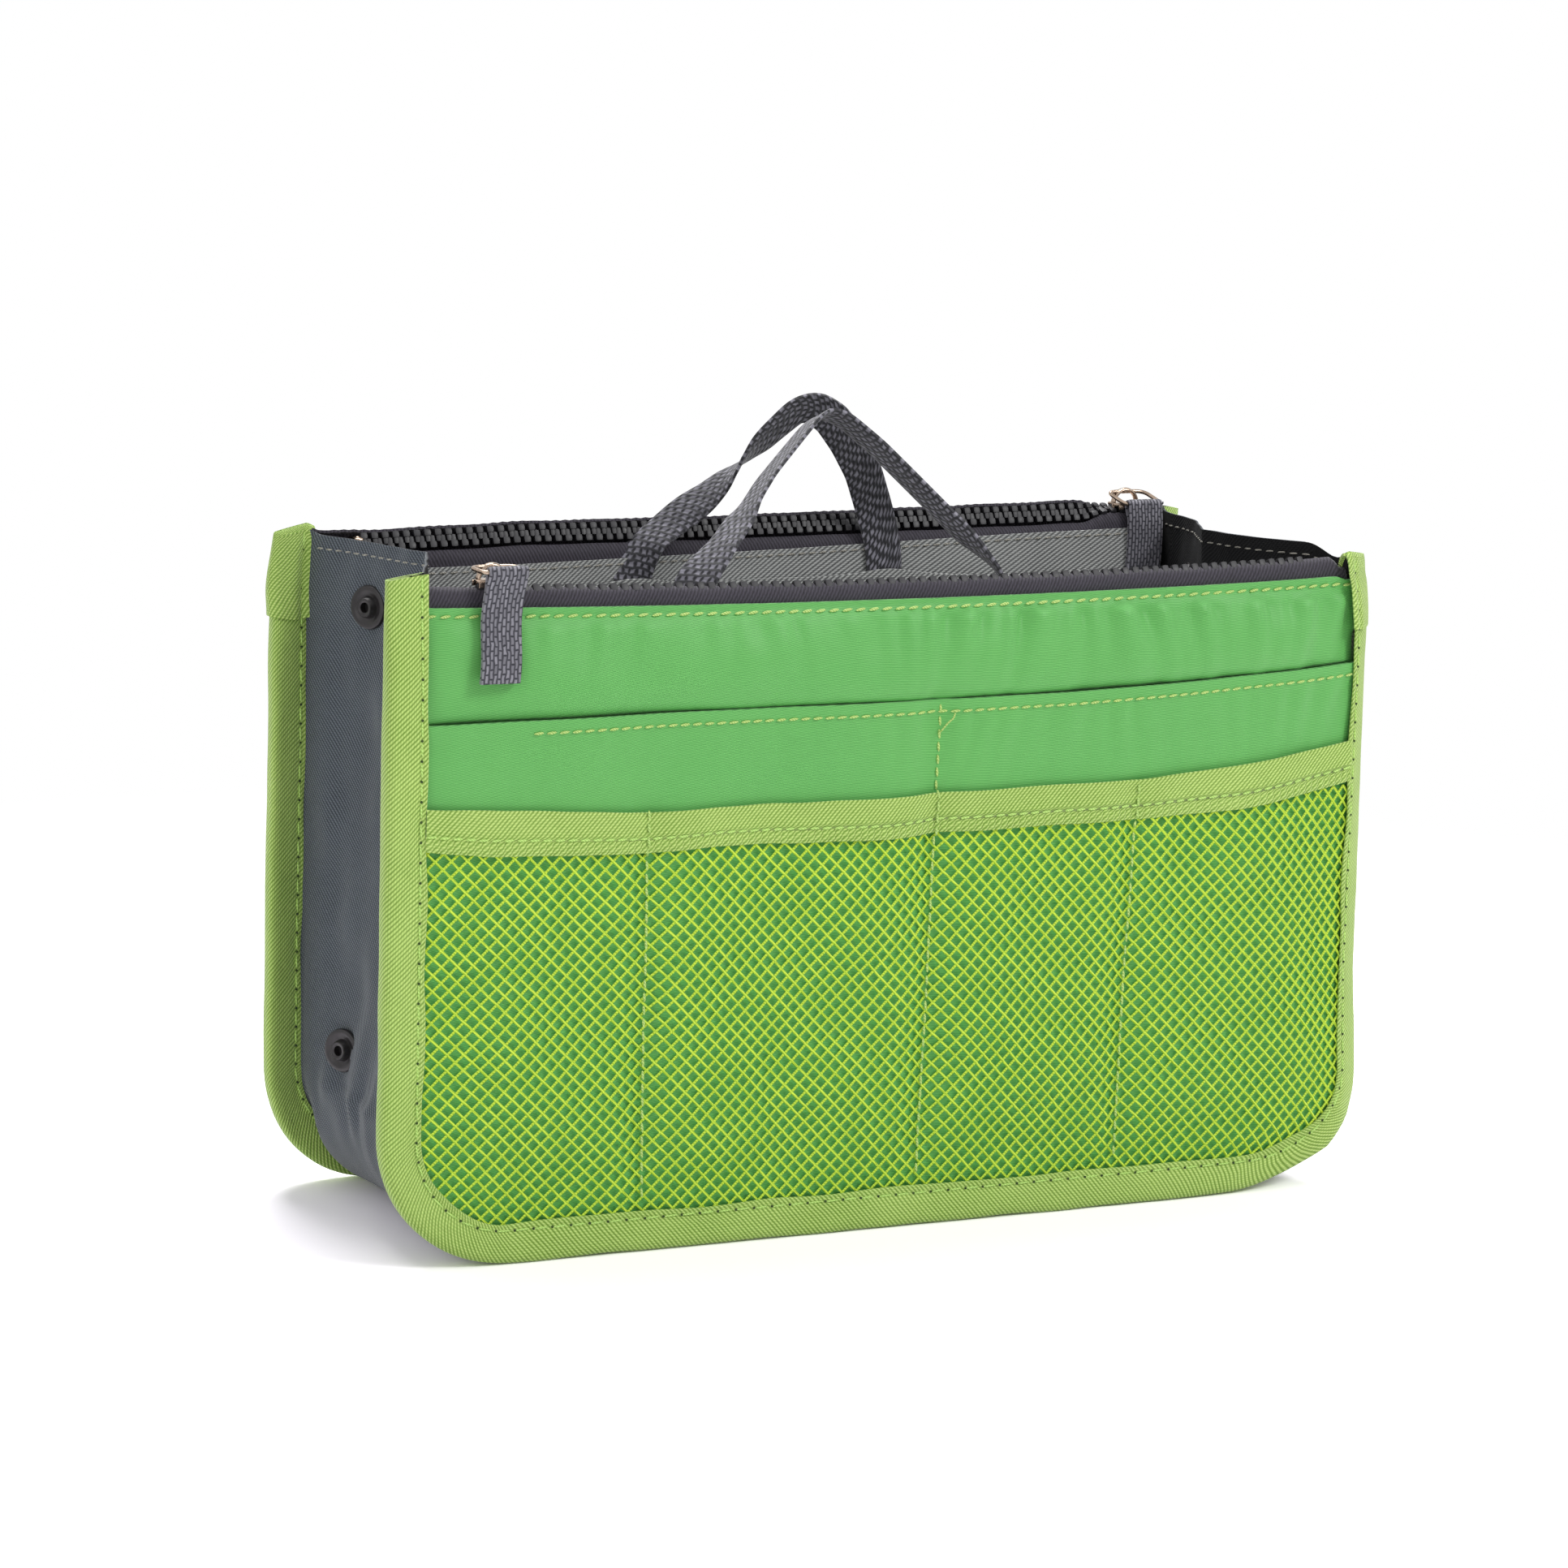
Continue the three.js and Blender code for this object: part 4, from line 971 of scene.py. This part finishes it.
def round_corner(middle, start, count):
    """Points round one lower corner of a pouch, each with the turn that it faces."""
    turns = [start + 0.5 * math.pi * i / count for i in range(count)]
    return [(middle + corner * math.cos(a), corner + corner * math.sin(a), a) for a in turns]


def outline(count_side, count_corner, count_bottom):
    """Points down the left side of a pouch, along its bottom and up its right side, with the inward way."""
    below = 1.5 * math.pi
    bottom = np.linspace(corner - half, half - corner, count_bottom, endpoint=False)
    rows = [(-half, z, math.pi) for z in np.linspace(180, corner, count_side, endpoint=False)]
    rows += round_corner(corner - half, math.pi, count_corner)
    rows += [(x, 0, below) for x in bottom]
    rows += round_corner(half - corner, below, count_corner)
    rows += [(half, z, 2 * math.pi) for z in np.linspace(corner, 180, count_side)]
    rows = np.array(rows)
    return rows[:, :2], -np.stack([np.cos(rows[:, 2]), np.sin(rows[:, 2])], -1), rows[:, 2]


edge_points, edge_inward, edge_turn = outline(58, 22, 86)
edge_run = run_of(edge_points)
section = np.array(binding_section)
rows = len(edge_run)
count = len(section)
for side in ("front", "rear"):
    run = edge_run[:, None]
    inset = section[:, 0] + 0 * run
    outside = np.where(section[:, 1] > 47, 1, np.where(section[:, 1] < 42.5, -1, 0))
    depth = section[:, 1] + outside * 0.16 * wander(run, inset * 2, 91, 14)
    inset = inset + (section[:, 0] > 8) * 0.6 * wander(run, 0, 92, 44)
    inset = inset + (section[:, 0] < 2) * 0.2 * wander(run, 0, 93, 30)
    inset = np.where(edge_turn[:, None] == 1.5 * math.pi, np.maximum(inset, 0.0), inset)
    x = edge_points[:, :1] + edge_inward[:, :1] * inset
    z = edge_points[:, 1:] + edge_inward[:, 1:] * inset
    points = stand(side, x, depth, np.maximum(z, 0.02)).reshape(-1, 3)
    faces = []
    for i in range(rows - 1):
        for k in range(count):
            m = (k + 1) % count
            faces.append((i * count + k, i * count + m, (i + 1) * count + m, (i + 1) * count + k))
    cap = [(k, k + 1, count - 2 - k, count - 1 - k) for k in range(count // 2 - 1)]
    faces.extend(cap)
    faces.extend([(rows - 1) * count + k for k in reversed(quad)] for quad in cap)
    cloth_map = np.stack(np.broadcast_arrays(run, run_of(section)), -1).reshape(-1, 2)
    lay(side, "binding_twill", (points, faces, cloth_map), lime_twill, "binding")

# End folds: at one end of each pouch the binding's tail is folded back over its top as a second, wider
# layer of the same twill, closed at the top and held by the binding's own stitches. A short flap of it
# shows on the inside.
fold_shoulder = 176.5
flap_root = 10.6
for side in ("front", "rear"):
    path = [(11.9, 48.9), (10, 49.3), (6, 49.3), (2, 49.1), (0.4, 48.3), (-0.4, 47.0), (-0.5, 45.1)]
    path = [*path, (-0.4, 43.2), (0.4, 41.9), (2, 41.1), (6, 40.9), (10, 41.0), (11.9, 41.3)]
    path_inset, path_depth = flow(path, 60, 3).T
    z = np.linspace(156, fold_shoulder, 26)
    z = np.concatenate([z, fold_shoulder + 4.6 * np.sin(np.linspace(0.12, 1.5, 12))])[:, None]
    closed = np.where(z > fold_shoulder, np.sqrt(np.clip(1 - ((z - fold_shoulder) / 4.7) ** 2, 0.02, 1)), 1)
    inset = path_inset + (path_inset > 9) * 0.5 * wander(z, 0, 95, 14)
    inset = inset - 0.7 * bump_at(z, 166, 8) * (path_inset < 3)
    sewn = 1 - 0.25 * bump_at(path_inset, binding_seam, 1.2)
    depth = (path_depth - panel_depth) * sewn + 0.25 * wander(z, inset, 96, 12)
    depth = panel_depth + depth * closed
    lowest = 157.5 + 1.2 * wander(path_inset, 0, 97, 22)
    height = z + (lowest - 156) * smooth((170 - z) / 14)
    points, faces, cloth_map = slab(stand(side, half - inset, depth, height), 0.8)
    up = np.array([158.5, 161, 164, 167, 169.5, 171.5, 173.0])[:, None]
    reach = np.array([14.0, 14.6, 15.1, 15.6, 15.9, 15.2, 12.6])[:, None]
    flap = (reach - flap_root) * np.linspace(0, 1, 6)
    more, more_faces, more_map = slab(stand(side, half - flap_root - flap, 41.5 - 0.1 * flap, up), 0.8)
    points, faces = together((points, faces), (more, more_faces))
    shape = (points, faces, np.concatenate([cloth_map, more_map]))
    make(f"{side}_end_fold_twill", shape, lime_twill, body_for(side))

# Gusset: one strip of slate twill that joins the two pouches down the left side, along the bottom and up
# the right side. Its sides fold inwards along a crease in the middle, deepest at the top.
gusset_half = 41.3
gusset_inset = 11.3
slate_tones = ((34, 39, 46), (107, 114, 124))
# Its inner face is near black: partly the cloth's darker back, partly painted shade for the inside of the
# bag.
slate_twill = woven("slate_twill", slate_tones, 0.00085, 0.0006, -42, 0.0002, 0.85, 0.35, back=(17, 17, 19))


def gusset_fold(z, y):
    """How far the gusset's sides are drawn in between the pouches, most along the crease in the middle."""
    return 16 * np.maximum((z - 30) / 150, 0) ** 0.6 * np.maximum(1 - np.abs(y) / gusset_half, 0)


def gusset_points(points, inward, turn, y, run):
    """The gusset between the pouches: pulled in along the middle of each side, let down to the table."""
    z = points[:, 1:]
    run = run[:, None]
    lowered = smooth(np.interp(turn, [math.pi, 1.5 * math.pi, 2 * math.pi], [0, 1, 0]))[:, None]
    near_seam = (gusset_half - np.abs(y)) / (gusset_half - 34)
    inset = gusset_inset + gusset_fold(z, y) - 11.0 * lowered * np.clip(near_seam, 0, 1)
    soft = 1.0 * wander(run * 0.7, y, 101, 30) + 0.5 * wander(run, y, 102, 13)
    ribs = 0.9 * np.sin(y / 2.2 + 1.6 * wander(run, y, 103, 26)) * bump_at(z, 27, 12)
    free = smooth((gusset_half - np.abs(y)) / 14)
    inset = inset + (soft + ribs) * free * (0.3 + 0.7 * smooth(np.abs(y) / 6)) * (1 - 0.8 * lowered)
    inset = inset + 0.45 * lowered * free
    x = points[:, :1] + inward[:, :1] * inset
    height = z + inward[:, 1:] * inset
    return np.stack([x, y + 0 * x, height], -1)


across = np.concatenate([[-gusset_half], np.linspace(-40, 40, 75), [gusset_half]])
body_rows = gusset_points(edge_points, edge_inward, edge_turn, across, edge_run)
flanges = []
for sign in (-1, 1):
    for inset in (5.5, 8.0, 10.4):
        spot = edge_points + edge_inward * inset
        flanges.append(np.stack([spot[:, 0], sign * 43.2 + 0 * spot[:, 0], spot[:, 1]], -1))
grid = np.concatenate([np.stack(flanges[:3], 1), body_rows, np.stack(flanges[:2:-1], 1)], 1)
shape = slab(grid, cloth)
points = shape[0]
points[:, 2] = np.maximum(points[:, 2], 0.0)
gusset_cloth = make("gusset_twill", shape, slate_twill, "root", ["gusset"])
# The inner face takes the near-black back tone, which is partly painted shade.
shares = (np.arange(len(points)) < len(points) // 2).astype(np.float32)
gusset_cloth.data.attributes.new("back_share", "FLOAT", "POINT").data.foreach_set("value", shares)
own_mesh(gusset_cloth)

# Snaps: four black-brown press studs on the rear half of the gusset and four sockets on the front half,
# each with a cap behind the cloth. They close when the bag is folded flat.
snap_metal = plastic("snap_metal", (38, 36, 37), 0.36, 0.5, 300)
snap_y = 19.5
snap_turns = 36
snap_back = ([0, 4.4, 5.0, 5.0, 2.1, 2.1, 5.6, 5.9], [-1.4, -1.4, -1.1, -0.6, -0.6, 0.4, 0.4, 0.7])
stud_front = (
    [5.95, 5.7, 5.1, 4.3, 3.6, 3.1, 2.8, 2.6, 2.3, 1.8, 1.4, 1.4, 0],
    [1.2, 1.75, 2.0, 1.85, 1.4, 1.4, 1.9, 3.0, 3.3, 3.3, 3.0, 1.2, 1.2],
)
socket_front = ([5.95, 5.7, 5.1, 4.2, 3.5, 3.1, 3.0, 0], [1.3, 2.0, 2.4, 2.4, 2.0, 1.5, 1.0, 1.0])
stud_shape = np.concatenate([snap_back, stud_front], 1).T
socket_shape = np.concatenate([snap_back, socket_front], 1).T


def on_cloth(sign, z, y):
    """A point of the gusset's left (-1) or right (1) side."""
    return np.array([sign * (half - gusset_inset - gusset_fold(z, y)), y, z])


def turned_shape(section, centre, outward):
    """A closed shape turned round its axis, from radii and heights above the cloth."""
    first = unit(np.cross(outward, (0, 0, 1)))
    second = np.cross(outward, first)
    turns = [snap_turns if radius > 0 else 1 for radius, _ in section]
    points = []
    for (radius, up), steps in zip(section, turns):
        for angle in 2 * math.pi * np.arange(steps) / snap_turns:
            spoke = math.cos(angle) * first + math.sin(angle) * second
            points.append(centre + outward * up + radius * spoke)
    starts = np.cumsum([0, *turns]).tolist()
    faces = []
    for i in range(len(section) - 1):
        a, b = starts[i], starts[i + 1]
        for k in range(snap_turns):
            m = (k + 1) % snap_turns
            if turns[i] == 1:
                faces.append((a, b + m, b + k))
            elif turns[i + 1] == 1:
                faces.append((a + k, a + m, b))
            else:
                faces.append((a + k, a + m, b + m, b + k))
    return np.array(points), faces, None


for place, sign, height, upturn in (
    ("left_upper", -1, 163, 0.14),
    ("left_lower", -1, 43, 0.4),
    ("right_upper", 1, 163, 0.14),
    ("right_lower", 1, 43, 0.4),
):
    for kind, y, section, snap_body in (
        ("stud", snap_y, stud_shape, "rear_snaps"),
        ("socket", -snap_y, socket_shape, "front_snaps"),
    ):
        centre = on_cloth(sign, height, y)
        outward = np.cross(on_cloth(sign, height + 1, y) - centre, on_cloth(sign, height, y + 1) - centre)
        outward = unit(outward) * np.sign(outward[0]) * sign
        outward = unit(outward + (0, upturn * np.sign(outward[1]), 0))
        shape = turned_shape(section, centre, outward)
        snap = f"{place}_{kind}"
        make(f"{snap}_metal", shape, snap_metal, snap_body, [snap], crease=40)

# Handles: a loop of charcoal webbing on each inner wall, its two ends sewn flat behind the pocket's mouth.
# It twists on its way up, so that it shows its face at one place and its edge at the next.
handle_tones = ((16, 16, 21), (36, 36, 43), (150, 148, 160))
handle_webbing = webbing_cloth("handle_webbing", *handle_tones, 0.0019, 0.002, 0)
handle_depth = 35.0
handle_root = 180.85
routes = {
    "front": (
        [-56.6, -56.2, -54.6, -43.7, -35.7, -30, -21.1, -13.5, -9.2]
        + [-4.4, 4, 11.4, 18.7, 26.1, 33.4, 36.4, 37],
        [-17, -12, -6, 6.1, 15.5, 22.4, 31.1, 38.4, 40.6, 38.4, 29.7, 20.6, 11.5, 2.4, -5, -11, -17],
    ),
    "rear": (
        [-43.2, -42.6, -39, -30.7, -23.2, -15.2, -8.6, -2.0, 2.4, 9.0, 15.9, 22.8, 28.6, 32.2, 33.4, 33.6],
        [-17, -12, -5, 2, 8.8, 19.2, 28.8, 36.6, 37.4, 33.6, 25.6, 15.8, 4.3, -5, -11, -17],
    ),
}
twists = {
    "front": (
        [0, 0.05, 0.11, 0.22, 0.255, 0.45, 0.6, 0.9, 0.96, 1],
        [0, -26, -55, -58, -77, -80, -84, -84, -60, -20],
    ),
    "rear": (
        [0, 0.05, 0.1, 0.2, 0.29, 0.345, 0.4, 0.52, 0.9, 1],
        [0, -30, -58, -72, -98, -132, -158, -170, -172, -180],
    ),
}
for side, degrees in (("front", 29), ("rear", 26)):
    turn = turn_of(side)
    tilt = math.radians(degrees)
    x, up = np.array(routes[side])
    sewn_depth = handle_depth + 0.35 * smooth((-up - 8) / 6)
    depth = np.where(up < 0, sewn_depth, handle_depth - up * math.sin(tilt))
    rise = handle_root + up * np.where(up < 0, 1, math.cos(tilt))
    line = flow(np.stack([x, -turn * depth, rise], -1), 150, 6)
    ahead = unit(np.gradient(line, axis=0))
    share = smooth((line[:, 2:] - 176) / 10)
    tilted = np.array([0, -turn * math.cos(tilt), math.sin(tilt)])
    square = tilted * share + np.array([0, -turn, 0]) * (1 - share)
    in_plane = unit(np.cross(square, ahead))
    angle = soften(np.radians(np.interp(np.linspace(0, 1, 150), *twists[side])), 6)[:, None]
    wide = in_plane * np.cos(angle) + square * np.sin(angle)
    across = np.linspace(-strap_half, strap_half, 11)[:, None]
    curl = 0.21 * (across / strap_half) ** 2
    grid = line[:, None] + wide[:, None] * across + np.cross(ahead, wide)[:, None] * curl
    shape = slab(grid, 1.2 - 0.5 * (np.abs(across[:, 0]) > 5))
    nodes = [f"{side}_handle", f"{side}_handle_first_tail", f"{side}_handle_second_tail"]
    loop_cloth = make(f"{side}_handle_webbing", shape, handle_webbing, None, nodes)
    start = (0, -turn * 0.0351, 0.177)
    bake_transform(loop_cloth)

# Stitching: pale thread along the folded edges and down the pocket seams, lime thread in the bindings'
# grooves with painted shade at its needle holes, and grey thread on the gusset's hem and the inner walls.
band_face = 48.57
net_face = 47.32
hole_pitch = 5.2
stitch_inputs = {"Seam": "Geometry", "Stitch Pitch": "Float", "Stitch Size": "Vector", "Slant": "Float"}


def stitch_tree():
    """A tree that lays one stitch, a rounded grain of thread, at each pitch along a seam."""
    tree, given = tree_with("stitches", stitch_inputs, "Stitches")
    points, flat = spots_along(tree, given["Seam"], given["Stitch Pitch"], "Z")
    slant = add(tree, "FunctionNodeAxisAngleToRotation", {"Axis": (0, 0, 1), "Angle": given["Slant"]})
    both = {"Rotation": flat, "Rotate By": slant}
    turned = add(tree, "FunctionNodeRotateRotation", both, rotation_space="LOCAL")
    grain = add(tree, "GeometryNodeMeshUVSphere", {"Segments": 8, "Rings": 5, "Radius": 0.5})
    placing = {"Points": points, "Instance": grain, "Rotation": turned, "Scale": given["Stitch Size"]}
    placed = add(tree, "GeometryNodeInstanceOnPoints", placing)
    return end_tree(tree, placed, given["Material"], "Stitches")


stitches = stitch_tree()
pale_thread = twisted("pale_thread", (150, 190, 90), (205, 228, 140), 0.0004, 0.6)
lime_thread = twisted("lime_thread", (164, 206, 96), (206, 238, 140), 0.0004, 0.6)
grey_thread = twisted("grey_thread", (120, 118, 112), (176, 172, 162), 0.0004, 0.6)
# Needle holes: dark lime discs on the binding, painted shade standing in for the shadow inside each hole.
needle_hole_shade = twisted("needle_hole_shade", (40, 58, 24), (66, 88, 40), 0.0005, 0.9)


def sew(name, seams, pitch, size, slant, thread, body):
    """Rows of stitches of one thread, their pitch and size in millimetres and their slant in degrees."""
    values = {
        "Stitch Pitch": pitch / 1000,
        "Stitch Size": tuple(s / 1000 for s in size),
        "Slant": math.radians(slant),
        "Material": thread,
    }
    return grow(name, stitches, seams, values, body)


for side in ("front", "rear"):
    outwards = stand(side, 0, 1, 0)
    body = body_for(side)
    x = np.linspace(-131, 131, 240)
    z = panel_top[side] - 2.1 + mouth_droop(side, x, 168) * 0.8
    seams = [(stand(side, x, panel_depth + 0.72 + face(x, z), z), outwards)]
    sew(f"{side}_top_stitching", seams, 3.8, (3.0, 0.85, 0.65), 10, pale_thread, body)

    low = np.interp(x, *band_foot)
    z = low + stitched_at * (np.interp(x, *band_top) - low)
    seams = [(stand(side, x, 48.66 + face(x, z), z), outwards)]
    sew(f"{side}_band_stitching", seams, 3.4, (2.8, 0.75, 0.55), 5, lime_thread, body)

    x = np.linspace(-103, 131, 240)
    z = np.interp(x, *slip_edge) - 3.2
    gape = slip_gape(x) * smooth(20.8 / 24) * (1 - bump_at(x, 11, 5))
    seams = [(stand(side, x, slip_depth + 0.62 + gape + face(x, z), z), outwards)]
    for top, count, low_x, top_x in ((141, 120, 9, 12), (117, 100, -71, -72), (117, 100, 69, 71)):
        z = np.linspace(top, 16, count)
        x = np.interp(z, [16, top], [low_x, top_x])
        layer = np.where(z > 118.5, slip_depth + 0.2, np.where(z > 107, band_face, net_face)) + 0.38
        seams.append((stand(side, x, layer + face(x, z), z), outwards))
    sew(f"{side}_pocket_stitching", seams, 3.4, (2.8, 0.8, 0.62), 6, pale_thread, body)

    tail = [(11.4, 47.2, 134.2), (11.9, 48.3, 135.4), (13.2, 48.9, 137.4), (14.6, 48.9, 138.6)]
    x, depth, z = flow([*tail, (15.1, 48.6, 139.9)], 24, 2).T
    seams = [(stand(side, x, depth + face(x, z) - 0.2, z), outwards)]
    values = {"Strand Radius": 0.00024, "Strand Sides": 6, "Material": pale_thread}
    grow(f"{side}_thread_tail", strands, seams, values, body)

    spot = (edge_points + edge_inward * binding_seam)[1:-1]
    seams = []
    holes = []
    for depth, way in ((48.42, 1), (41.78, -1)):
        line = stand(side, spot[:, 0], depth, spot[:, 1])
        seams.append((line, outwards * way))
        line = line + outwards * way * 0.05
        run = run_of(line)
        places = np.arange(hole_pitch / 2, run[-1] - 2, hole_pitch)
        holes.append((np.stack([np.interp(places, run, column) for column in line.T], -1), outwards * way))
    stitched = (4.2, 0.55, 0.45)
    sew(f"{side}_binding_stitching", seams, hole_pitch, stitched, 3, lime_thread, body)
    # Dark discs at the needle holes: painted shade.
    sew(f"{side}_needle_holes", holes, hole_pitch, (0.75, 0.75, 0.4), 0, needle_hole_shade, body)

    x = np.linspace(-122, 122, 200)
    seams = [(stand(side, x, 35.8, np.interp(x, *wall_edge[side]) - 1.5), -outwards)]
    sew(f"{side}_wall_stitching", seams, 3.2, (2.4, 0.6, 0.5), 5, grey_thread, body)

hem_seams = []
y = np.linspace(-38, 38, 90)
for way, turn, start in ((1, math.pi, 3.5), (-1, 2 * math.pi, edge_run[-1] - 3.5)):
    top = (np.array([[-way * half, 176.5]]), np.array([[way, 0]]), np.array([turn]))
    spot = gusset_points(*top, y, np.array([start]))[0]
    for face_way in (-1, 1):
        facing = unit(np.stack([way * face_way + 0 * y, -0.38 * face_way * np.sign(y), 0 * y], -1))
        hem_seams.append((spot + facing * 0.42, facing))
hem = sew("gusset_stitching", hem_seams, 3.4, (2.5, 0.55, 0.5), 4, grey_thread, "root")
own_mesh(hem)
